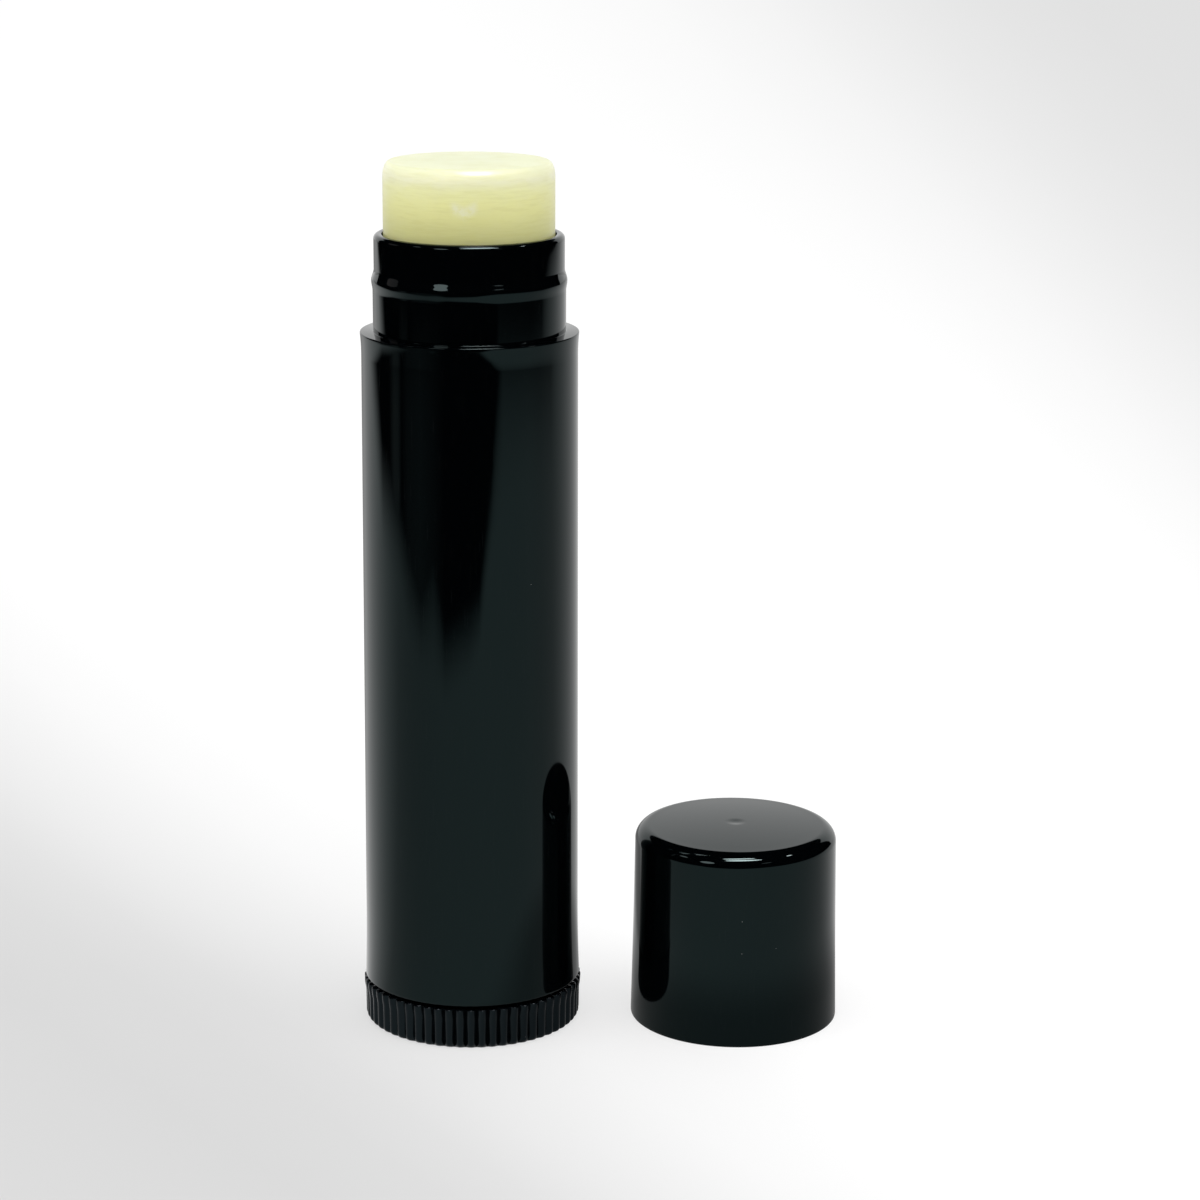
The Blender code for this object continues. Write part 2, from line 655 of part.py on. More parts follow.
clear_scene()
parts = make_collection("lip_balm_stick")
cutters = make_collection("cutters")
tube_axis = make_axis("tube_axis", TUBE_X, 0)
cap_axis = make_axis("cap_axis", CAP_X, CAP_SETBACK)
black_plastic = make_material("black_plastic", (0.010, 0.012, 0.013), 0.15)
pale_balm = make_material("pale_balm", (0.80, 0.80, 0.50), 0.45)
make_barrel()
make_base_wheel()
make_elevator()
make_balm()
make_cap()
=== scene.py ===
"""The looks of a twist-up lip balm stick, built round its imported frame.

Metres, +Z up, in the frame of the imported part. The tube stands on the left
with its balm turned up, and the cap stands on its mouth on the right.
"""

import logging
import math
from collections.abc import Callable, Iterable, Mapping, Sequence
from dataclasses import dataclass
from enum import Enum

import bmesh
import bpy
from mathutils import Matrix, Vector


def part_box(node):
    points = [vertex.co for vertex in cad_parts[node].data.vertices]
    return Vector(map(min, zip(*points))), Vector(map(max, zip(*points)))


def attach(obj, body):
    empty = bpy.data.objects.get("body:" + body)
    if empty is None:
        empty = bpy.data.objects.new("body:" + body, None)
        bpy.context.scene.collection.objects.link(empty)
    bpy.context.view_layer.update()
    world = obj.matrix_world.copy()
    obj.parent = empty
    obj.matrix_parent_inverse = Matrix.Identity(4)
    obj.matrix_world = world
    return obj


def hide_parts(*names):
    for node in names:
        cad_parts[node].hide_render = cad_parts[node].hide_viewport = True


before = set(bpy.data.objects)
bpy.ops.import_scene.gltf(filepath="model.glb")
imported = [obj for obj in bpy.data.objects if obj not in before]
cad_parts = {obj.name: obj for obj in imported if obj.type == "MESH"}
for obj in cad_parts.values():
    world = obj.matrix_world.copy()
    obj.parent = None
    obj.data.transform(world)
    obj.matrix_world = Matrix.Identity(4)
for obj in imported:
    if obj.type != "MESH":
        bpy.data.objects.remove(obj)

LOG = logging.getLogger("lip_balm_stick")
MM = 0.001
FULL_TURN = 2 * math.pi
WELD = 0.0005 * MM
CLOSE = 0.004 * MM
UP = Vector((0, 0, 1))
RIB_COUNT = 4
FIRST_RIB = FULL_TURN / 8
CLOUDY = (0.35, 0.75)
FINE = 3
RAGGED = 0.6
HAIR_EDGE = 0.8

Colour = tuple[float, float, float]


class Body(Enum):
    """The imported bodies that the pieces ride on."""

    TUBE = "tube"
    WHEEL = "wheel"
    CARRIER = "carrier"
    CAP = "cap"


class Slot(Enum):
    """The record's material slots."""

    BARREL = "barrel_plastic"
    WHEEL = "wheel_plastic"
    ELEVATOR = "elevator_plastic"
    BALM = "balm"
    CAP = "cap_plastic"


def operator(operation: str, swapped: bool = False) -> Callable[["Wire", "Wire | float"], "Wire"]:
    """Make a Wire's method that adds a Math node.

    Args:
        operation: The node's operation.
        swapped: Whether the other value comes first.

    Returns:
        The method.
    """

    def method(self: "Wire", other: "Wire | float") -> "Wire":
        """Work the operation out with another value."""
        values = (other, self) if swapped else (self, other)
        return self.bench.add("ShaderNodeMath", {"operation": operation}, dict(enumerate(values)))

    return method


class Wire:
    """An output socket of a material that Python expressions work with.

    Below is 1 where the value is less than the other one, and 0 elsewhere, and
    larger is the larger of the two.
    """

    __add__ = __radd__ = operator("ADD")
    __sub__ = operator("SUBTRACT")
    __rsub__ = operator("SUBTRACT", swapped=True)
    __mul__ = __rmul__ = operator("MULTIPLY")
    __truediv__ = operator("DIVIDE")
    below = operator("LESS_THAN")
    larger = operator("MAXIMUM")

    def __init__(self, bench: "Bench", socket: bpy.types.NodeSocket) -> None:
        """Keep the socket and the bench that it belongs to."""
        self.bench = bench
        self.socket = socket

    def size(self) -> "Wire":
        """Return the value without its sign."""
        return self.bench.add("ShaderNodeMath", {"operation": "ABSOLUTE"}, {0: self})

    def ease(self, low: float, high: float) -> "Wire":
        """Rise smoothly from 0 at low to 1 at high.

        Args:
            low: The value where the rise starts.
            high: The value where it ends. It may be the smaller of the two.

        Returns:
            The eased share.
        """
        settings = {"interpolation_type": "SMOOTHSTEP"}
        if low < high:
            return self.bench.add("ShaderNodeMapRange", settings, {0: self, 1: low, 2: high})
        return 1 - self.bench.add("ShaderNodeMapRange", settings, {0: self, 1: high, 2: low})


class Bench:
    """A material or world whose nodes are being made."""

    def __init__(self, owner: bpy.types.Material | bpy.types.World) -> None:
        """Start on an emptied node tree.

        Args:
            owner: The material or world that it belongs to.
        """
        owner.use_nodes = True
        self.owner = owner
        self.tree = owner.node_tree
        self.tree.nodes.clear()

    @classmethod
    def for_material(cls, name: str) -> "Bench":
        """Start a new material."""
        return cls(bpy.data.materials.new(name))

    def add(
        self,
        kind: str,
        settings: Mapping[str, object] | None = None,
        sockets: Mapping[str | int, object] | None = None,
        output: str | int = 0,
    ) -> Wire:
        """Add one node.

        Args:
            kind: The node's type.
            settings: Its own settings, set first. "stops" are a ramp's
                (place, colour) pairs.
            sockets: The values or wires of its inputs.
            output: The output that is wanted.

        Returns:
            The wire from that output.
        """
        node = self.tree.nodes.new(kind)
        for name, value in (settings or {}).items():
            if name == "stops":
                self._set_stops(node.color_ramp, value)
            else:
                setattr(node, name, value)
        for key, value in (sockets or {}).items():
            if isinstance(value, Wire):
                self.tree.links.new(value.socket, node.inputs[key])
            else:
                node.inputs[key].default_value = value
        return Wire(self, node.outputs[output] if len(node.outputs) else None)

    @staticmethod
    def _set_stops(ramp: bpy.types.ColorRamp, stops: Sequence[tuple[float, Colour]]) -> None:
        """Give a ramp its stops.

        Args:
            ramp: The ramp, which has two stops.
            stops: At least two places and their colours, in order.
        """
        for place, _ in stops[1:-1]:
            ramp.elements.new(place)
        for element, (place, colour) in zip(ramp.elements, stops):
            element.position = place
            element.color = (*colour, 1)

    def show(
        self, kind: str, sockets: Mapping[str, object]
    ) -> bpy.types.Material | bpy.types.World:
        """Add the shader that the owner shows.

        Args:
            kind: The shader's type.
            sockets: The values or wires of its inputs.

        Returns:
            The finished material or world.
        """
        is_world = isinstance(self.owner, bpy.types.World)
        output = "ShaderNodeOutputWorld" if is_world else "ShaderNodeOutputMaterial"
        self.add(output, None, {"Surface": self.add(kind, None, sockets)})
        return self.owner

    def place(self) -> Wire:
        """Return the place on the piece, in metres in the part's frame."""
        return self.add("ShaderNodeTexCoord", output="Object")

    def mapped(
        self,
        place: Wire,
        shift: Sequence[float] = (0, 0, 0),
        turn: Sequence[float] = (0, 0, 0),
        scale: Sequence[float] = (1, 1, 1),
    ) -> Wire:
        """Return the place shifted, turned and scaled."""
        sockets = {"Vector": place, "Location": shift, "Rotation": turn, "Scale": scale}
        return self.add("ShaderNodeMapping", None, sockets)

    def place_from(self, point: Sequence[float]) -> Wire:
        """Return the place on the piece, measured from a point."""
        return self.mapped(self.place(), [-value for value in point])

    def length(self, place: Wire) -> Wire:
        """Return how far a place lies from where it is measured."""
        settings = {"operation": "LENGTH"}
        return self.add("ShaderNodeVectorMath", settings, {0: place}, output="Value")

    def axes(self, place: Wire) -> tuple[Wire, Wire, Wire]:
        """Return a place's three values."""
        node = self.add("ShaderNodeSeparateXYZ", None, {0: place}).socket.node
        return tuple(Wire(self, socket) for socket in node.outputs)

    def noise(self, place: Wire, grain: float, detail: float, roughness: float = 0.5) -> Wire:
        """Return soft noise from 0 to 1 with grains of the given size."""
        sockets = {"Vector": place, "Scale": 1 / grain, "Detail": detail, "Roughness": roughness}
        return self.add("ShaderNodeTexNoise", None, sockets)

    def blend(self, share: Wire, first: Wire | Colour, second: Wire | Colour) -> Wire:
        """Blend two colours.

        Args:
            share: The second one's share.
            first: The first colour.
            second: The second one.

        Returns:
            The blend.
        """
        ends = [end if isinstance(end, Wire) else (*end, 1) for end in (first, second)]
        sockets = {0: share, 6: ends[0], 7: ends[1]}
        return self.add("ShaderNodeMix", {"data_type": "RGBA"}, sockets, output=2)

    def ramp(self, value: Wire, stops: Sequence[tuple[float, Colour | float]]) -> Wire:
        """Look a value up among some stops.

        Args:
            value: The value.
            stops: The colours, or the greys, at some values, the lowest first.

        Returns:
            The colour.
        """
        low, high = stops[0][0], stops[-1][0]
        colours = [(at, tone if isinstance(tone, tuple) else (tone,) * 3) for at, tone in stops]
        shares = [((at - low) / (high - low), colour) for at, colour in colours]
        return self.add("ShaderNodeValToRGB", {"stops": shares}, {0: (value - low) / (high - low)})

    def bump(self, height: Wire, depth: float) -> Wire:
        """Return a normal that stands out by depth where height is 1."""
        return self.add("ShaderNodeBump", None, {"Height": height, "Distance": depth, "Strength": 1})

    def specks(self, place: Wire, spacing: float, radius: float, share: float) -> Wire:
        """Scatter small round specks.

        Args:
            place: Where they are.
            spacing: The usual distance between two places for a speck.
            radius: A speck's radius.
            share: The share of the places that have one.

        Returns:
            1 in a speck and 0 elsewhere.
        """
        cell = self.add("ShaderNodeTexVoronoi", None, {"Vector": place, "Scale": 1 / spacing})
        chance = self.axes(Wire(self, cell.socket.node.outputs["Color"]))[0]
        return cell.below(radius / spacing) * chance.below(share)

    def hairlines(
        self, place: Wire, turn: Sequence[float], width: float, length: float, share: float
    ) -> Wire:
        """Draw fine straight scratches.

        Args:
            place: Where they are.
            turn: The angles that lay them out.
            width: A scratch's width.
            length: Its length.
            share: The share of the width that they take.

        Returns:
            1 in a scratch and 0 elsewhere, with soft edges.
        """
        across = self.mapped(place, turn=turn, scale=(1 / width, 1 / width, 1 / length))
        return self.noise(across, 1, 0).ease(1 - share, 1 - share * HAIR_EDGE)


@dataclass(frozen=True)
class BlackPlastic:
    """Polished black moulded plastic with a faint ripple, dust and scratches.

    Attributes:
        name: The material's name.
        colour: Its own colour.
        tint: The colour of what it mirrors.
        index: Its index of refraction.
        gloss: The roughness of the clean surface.
        haze: How much rougher it gets in clouds.
        cloud_grain: The size of the clouds.
        patchy: Whether they stand apart as patches.
        grain: The size of the surface's ripple or grain.
        grain_detail: How many finer layers that has.
        relief: Its height.
        dust: The share of places that hold a speck.
        dust_spacing: The distance between two such places.
        dust_radius: A speck's radius.
        dust_pale: How much paler a speck is.
        dust_haze: How much rougher it is.
        scratches: The angles, width and length of each set of scratches.
        scratch_share: The share of the width that a set takes.
        scratch_pale: How much a scratch shows as dust does.
        scratch_haze: How much rougher it is.
    """

    name: str
    colour: Colour = (0.0004, 0.0007, 0.0010)
    tint: Colour = (0.62, 1.0, 1.0)
    index: float = 1.31
    gloss: float = 0.035
    haze: float = 0.035
    cloud_grain: float = 6 * MM
    patchy: bool = True
    grain: float = 1.6 * MM
    grain_detail: float = 1
    relief: float = 0.0010 * MM
    dust: float = 0.05
    dust_spacing: float = 1.3 * MM
    dust_radius: float = 0.045 * MM
    dust_pale: float = 0.10
    dust_haze: float = 0.4
    scratches: tuple[tuple[Colour, float, float], ...] = (
        ((0.9, 0.5, 0.0), 0.05 * MM, 3.0 * MM),
        ((-0.9, 0.6, 0.4), 0.04 * MM, 2.4 * MM),
    )
    scratch_share: float = 0.22
    scratch_pale: float = 0.03
    scratch_haze: float = 0.10

    def make(self) -> bpy.types.Material:
        """Make the material.

        Returns:
            The new material.
        """
        bench = Bench.for_material(self.name)
        place = bench.place()
        cloud = bench.noise(place, self.cloud_grain, FINE)
        if self.patchy:
            cloud = cloud.ease(*CLOUDY)
        dust = bench.specks(place, self.dust_spacing, self.dust_radius, self.dust)
        scratch = 0.0
        for lie in self.scratches:
            scratch = bench.hairlines(place, *lie, self.scratch_share).larger(scratch)
        mark = dust.larger(scratch * self.scratch_pale)
        dusty = tuple(value + self.dust_pale for value in self.colour)
        hazy = self.gloss + cloud * self.haze
        sockets = {
            "Base Color": bench.blend(mark, self.colour, dusty),
            "Roughness": hazy + scratch * self.scratch_haze + dust * self.dust_haze,
            "IOR": self.index,
            "Specular Tint": (*self.tint, 1),
            "Normal": bench.bump(bench.noise(place, self.grain, self.grain_detail), self.relief),
        }
        return bench.show("ShaderNodeBsdfPrincipled", sockets)


@dataclass(frozen=True)
class SatinPlastic(BlackPlastic):
    """Black moulded plastic that is a little rough to the grip."""

    colour: Colour = (0.0006, 0.0010, 0.0016)
    tint: Colour = (0.54, 0.77, 0.86)
    index: float = 1.32
    gloss: float = 0.13
    haze: float = 0.10
    cloud_grain: float = 1.4 * MM
    patchy: bool = False
    grain: float = 0.22 * MM
    grain_detail: float = 2
    relief: float = 0.002 * MM
    dust: float = 0.04
    dust_spacing: float = 0.8 * MM
    dust_radius: float = 0.04 * MM
    dust_pale: float = 0.08
    dust_haze: float = 0.0
    scratches: tuple[tuple[Colour, float, float], ...] = ()


@dataclass(frozen=True)
class CastBalm:
    """Pale yellow-green wax, cast smooth, faintly streaked and marked.

    Attributes:
        name: The material's name.
        rub_place: The middle of the rubbed place.
        colour_and_shade_by_height: The wax's colour at some heights, from the lowest up, with
            painted shade darkest just above the tube's rim and painted light palest round the top of
            the side.
        deep: The deeper colour of its clouds and streaks.
        rubbed: The whiter colour of the rubbed place.
        rub_span: Half the width of the rubbed place.
        rub_width: How wide a stroke is, as a share of that.
        rub_slope: How steeply the strokes rise to their sides.
        rub_grain: The size of their grain.
        rub_edge: The noise where that starts and where it is full.
        rub_pale: How much the rubbed place shows.
        cloud_grain: The size of the clouds.
        streak_grain: The thickness of the streaks.
        streak_tilt: How far they lean, in radians.
        streak_stretch: How much a streak's grain is squeezed along it.
        streak_edge: The noise where a streak starts and where it is full.
        deepen: How much clouds and streaks deepen the colour.
        gloss: The roughness of the clean wax.
        haze: How much rougher clouds, streaks and the rubbed place are.
        index: Its index of refraction.
        glow: The share of light that goes through the wax.
        glow_colour: How far each colour of light goes in it.
        glow_reach: The length that those shares are of.
        relief: The height of its marks.
        stand: The shares of it for clouds, streaks and the rubbed place.
    """

    name: str
    rub_place: tuple[float, float, float]
    # Painted shade and light by height: darkest just above the tube's rim, palest round the top of
    # the side, a little darker again on the top face.
    colour_and_shade_by_height: tuple[tuple[float, Colour], ...] = (
        (50.0 * MM, (0.82, 0.81, 0.41)),
        (57.0 * MM, (0.78, 0.77, 0.37)),
        (60.2 * MM, (0.71, 0.70, 0.31)),
        (61.0 * MM, (0.77, 0.76, 0.36)),
        (61.8 * MM, (0.87, 0.86, 0.42)),
        (62.8 * MM, (0.94, 0.93, 0.49)),
        (63.6 * MM, (1.00, 1.00, 0.58)),
        (64.3 * MM, (1.00, 1.00, 0.70)),
        (65.0 * MM, (0.87, 0.89, 0.60)),
        (65.2 * MM, (0.77, 0.80, 0.52)),
    )
    deep: Colour = (0.58, 0.55, 0.16)
    rubbed: Colour = (0.98, 0.98, 0.86)
    rub_span: float = 1.15 * MM
    rub_width: float = 0.62
    rub_slope: float = 0.5
    rub_grain: float = 0.32 * MM
    rub_edge: tuple[float, float] = (0.20, 0.56)
    rub_pale: float = 0.5
    cloud_grain: float = 3.2 * MM
    streak_grain: float = 0.22 * MM
    streak_tilt: float = 0.03
    streak_stretch: float = 0.10
    streak_edge: tuple[float, float] = (0.44, 0.66)
    deepen: tuple[float, float] = (0.05, 0.12)
    gloss: float = 0.22
    haze: tuple[float, float, float] = (0.12, 0.08, 0.10)
    index: float = 1.45
    glow: float = 0.75
    glow_colour: Colour = (1.0, 0.97, 0.70)
    glow_reach: float = 2.2 * MM
    relief: float = 0.02 * MM
    stand: tuple[float, float, float] = (0.4, 0.9, 0.4)

    def make(self) -> bpy.types.Material:
        """Make the material.

        Returns:
            The new material.
        """
        bench = Bench.for_material(self.name)
        place = bench.place()
        cloud = bench.noise(place, self.cloud_grain, FINE)
        along = (self.streak_stretch, self.streak_stretch, 1)
        level = bench.mapped(place, turn=(0, self.streak_tilt, 0), scale=along)
        streak = bench.noise(level, self.streak_grain, FINE, RAGGED)
        rub = self.rub(bench, place)
        cloud_depth, streak_depth = self.deepen
        deeper = cloud.ease(*CLOUDY) * cloud_depth + streak.ease(*self.streak_edge) * streak_depth
        # The wax's colour by height, which carries painted shade near the rim and painted light on
        # the upper side.
        colour = bench.ramp(bench.axes(place)[2], self.colour_and_shade_by_height)
        colour = bench.blend(deeper, colour, self.deep)
        cloud_haze, streak_haze, rub_haze = self.haze
        cloud_rise, streak_rise, rub_rise = self.stand
        height = streak * streak_rise + cloud * cloud_rise + rub * rub_rise
        sockets = {
            "Base Color": bench.blend(rub * self.rub_pale, colour, self.rubbed),
            "Roughness": self.gloss + cloud * cloud_haze + streak * streak_haze + rub * rub_haze,
            "IOR": self.index,
            "Subsurface Weight": self.glow,
            "Subsurface Radius": self.glow_colour,
            "Subsurface Scale": self.glow_reach,
            "Normal": bench.bump(height, self.relief),
        }
        return bench.show("ShaderNodeBsdfPrincipled", sockets)

    def rub(self, bench: Bench, place: Wire) -> Wire:
        """Rub the wax in two soft strokes that meet low down.

        Args:
            bench: The material that is being made.
            place: The place on the piece.

        Returns:
            The rubbed share.
        """
        span = self.rub_span
        across, away, up = bench.axes(bench.place_from(self.rub_place))
        stroke = (up - across.size() * self.rub_slope).size().ease(span * self.rub_width, 0)
        reach = across.size().ease(span, span / 2) * away.below(span * 2)
        grain = bench.noise(place, self.rub_grain, FINE, RAGGED).ease(*self.rub_edge)
        return stroke * reach * grain


@dataclass(frozen=True)
class Corner:
    """A point of a turned outline.

    Attributes:
        r: Its distance from the axis.
        z: Its height.
        soft: How far the ring that it makes is rounded, or 0.
        cuts: How many faces round it.
    """

    r: float
    z: float
    soft: float = 0.0
    cuts: int = 4


def arc(
    centre: Corner, radius: float, start: float, end: float, steps: int, tall: float | None = None
) -> list[Corner]:
    """Work out an arc of an outline.

    Args:
        centre: Its centre.
        radius: Its radius.
        start: The angle where it starts, in degrees from outward.
        end: The angle where it ends.
        steps: How many edges it has.
        tall: Its upright radius, where that is another one.

    Returns:
        The points.
    """
    rise = radius if tall is None else tall
    angles = [math.radians(start + (end - start) * i / steps) for i in range(steps + 1)]
    return [Corner(centre.r + radius * math.cos(a), centre.z + rise * math.sin(a)) for a in angles]


def even(share: float) -> float:
    """Return the share itself, for a straight course."""
    return share


def gentle(share: float) -> float:
    """Return a share that leaves 0 and reaches 1 gently."""
    return (1 - math.cos(math.pi * share)) / 2


def settling(share: float) -> float:
    """Return a share that leaves 0 at a slope and reaches 1 gently."""
    return 1 - (1 - share) ** 2


def between(
    start: Corner, end: Corner, steps: int, course: Callable[[float], float]
) -> list[Corner]:
    """Work out the inner points of a curve from one corner to another.

    Args:
        start: The corner that it leaves.
        end: The corner that it reaches.
        steps: How many edges it has.
        course: The share of the way in or out at a share of the height.

    Returns:
        The points, without start and end.
    """
    shares = [i / steps for i in range(1, steps)]
    wide, tall = end.r - start.r, end.z - start.z
    return [Corner(start.r + wide * course(s), start.z + tall * s) for s in shares]


def from_axis(vert: bmesh.types.BMVert, centre: Vector) -> float:
    """Return a vertex's distance from the upright axis through centre."""
    return math.hypot(vert.co.x - centre.x, vert.co.y - centre.y)


def set_from_axis(vert: bmesh.types.BMVert, centre: Vector, distance: float) -> None:
    """Move a vertex straight in or out.

    Args:
        vert: The vertex.
        centre: A point of the axis.
        distance: Its new distance from the axis.
    """
    scale = distance / from_axis(vert, centre)
    vert.co.x = centre.x + (vert.co.x - centre.x) * scale
    vert.co.y = centre.y + (vert.co.y - centre.y) * scale


def round_off(shape: bmesh.types.BMesh, edges: list, width: float, cuts: int) -> None:
    """Round some edges of a shape.

    Args:
        shape: The shape.
        edges: Its edges.
        width: How far they are rounded.
        cuts: How many faces round each.
    """
    bmesh.ops.bevel(
        shape,
        geom=edges,
        offset=width,
        offset_type="OFFSET",
        segments=cuts,
        profile=0.5,
        affect="EDGES",
        material=-1,
    )


def soften(shape: bmesh.types.BMesh, outline: Iterable[Corner], centre: Vector) -> None:
    """Round the rings that an outline's soft corners made.

    Args:
        shape: The turned shape.
        outline: The outline that it was turned from.
        centre: A point of the axis.
    """
    for corner in outline:
        if not corner.soft:
            continue
        ring = {
            vert
            for vert in shape.verts
            if abs(from_axis(vert, centre) - corner.r) < CLOSE and abs(vert.co.z - corner.z) < CLOSE
        }
        edges = [edge for edge in shape.edges if ring.issuperset(edge.verts)]
        round_off(shape, edges, corner.soft, corner.cuts)


def turned(outline: Sequence[Corner], centre: Vector, steps: int) -> bmesh.types.BMesh:
    """Turn an outline once about an upright axis.

    Args:
        outline: The half section, which ends on the axis or closes in a ring.
        centre: A point of the axis.
        steps: How many faces go round.

    Returns:
        The closed shape, with its soft corners rounded.
    """
    shape = bmesh.new()
    verts = [shape.verts.new((centre.x + p.r, centre.y, p.z)) for p in outline]
    edges = [shape.edges.new(pair) for pair in zip(verts, verts[1:])]
    if outline[0].r > 0:
        edges.append(shape.edges.new((verts[-1], verts[0])))
    bmesh.ops.spin(
        shape,
        geom=verts + edges,
        cent=centre,
        axis=UP,
        angle=FULL_TURN,
        steps=steps,
        use_merge=True,
    )
    bmesh.ops.remove_doubles(shape, verts=shape.verts, dist=WELD)
    bmesh.ops.recalc_face_normals(shape, faces=shape.faces)
    soften(shape, outline, centre)
    return shape


def smooth(obj: bpy.types.Object, sharp: float = 38) -> None:
    """Shade an object smooth, so that its wide faces stay true.

    Args:
        obj: The object.
        sharp: The angle past which an edge stays sharp, in degrees.
    """
    obj.data.shade_smooth()
    obj.data.set_sharp_from_angle(angle=math.radians(sharp))
    step = obj.modifiers.new("true_walls", "WEIGHTED_NORMAL")
    step.mode = "FACE_AREA"
    step.keep_sharp = True


def as_object(name: str, shape: bmesh.types.BMesh) -> bpy.types.Object:
    """Make a finished shape an object.

    Args:
        name: The object's name.
        shape: Its shape, which is used up.

    Returns:
        The new object.
    """
    mesh = bpy.data.meshes.new(name)
    shape.to_mesh(mesh)
    shape.free()
    obj = bpy.data.objects.new(name, mesh)
    bpy.context.scene.collection.objects.link(obj)
    return obj


def seat(
    piece: bpy.types.Object, material: bpy.types.Material, body: Body, slot: Slot, *nodes: str
) -> bpy.types.Object:
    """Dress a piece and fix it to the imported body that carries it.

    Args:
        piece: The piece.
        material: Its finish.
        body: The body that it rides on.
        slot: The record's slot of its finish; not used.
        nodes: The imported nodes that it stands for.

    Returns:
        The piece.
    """
    piece.data.materials.clear()
    piece.data.materials.append(material)
    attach(piece, body.value)
    if nodes:
        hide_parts(*nodes)
    return piece


def axis_of(node: str) -> Vector:
    """Return the foot of a packed round node's axis, on the floor."""
    low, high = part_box(node)
    return Vector(((low.x + high.x) / 2, (low.y + high.y) / 2, 0))


def cut_away(piece: bpy.types.Object, cutter: bpy.types.Object) -> None:
    """Take a cutter's shape out of a piece.

    Args:
        piece: The piece.
        cutter: The cutter, which is removed.
    """
    step = piece.modifiers.new("cut", "BOOLEAN")
    step.solver = "EXACT"
    step.operation = "DIFFERENCE"
    step.object = cutter
    bpy.context.view_layer.update()
    graph = bpy.context.evaluated_depsgraph_get()
    mesh = bpy.data.meshes.new_from_object(piece.evaluated_get(graph))
    piece.modifiers.clear()
    piece.data = mesh
    bpy.data.objects.remove(cutter)


def slabs(
    centre: Vector, sides: tuple[float, float], ends: tuple[float, float], width: float
) -> bmesh.types.BMesh:
    """Make an upright slab at each guide rib's place.

    Args:
        centre: A point of the axis.
        sides: Where a slab starts and ends, from the axis.
        ends: The heights of its foot and its top.
        width: Its width.

    Returns:
        The slabs.
    """
    shape = bmesh.new()
    (near, far), (low, high) = sides, ends
    middle = Matrix.Translation(((far + near) / 2, 0, (high + low) / 2))
    size = Matrix.Diagonal((far - near, width, high - low, 1))
    for i in range(RIB_COUNT):
        turn = Matrix.Rotation(FIRST_RIB + FULL_TURN * i / RIB_COUNT, 4, "Z")
        place = Matrix.Translation(centre) @ turn @ middle
        bmesh.ops.create_cube(shape, size=1, matrix=place @ size)
    return shape


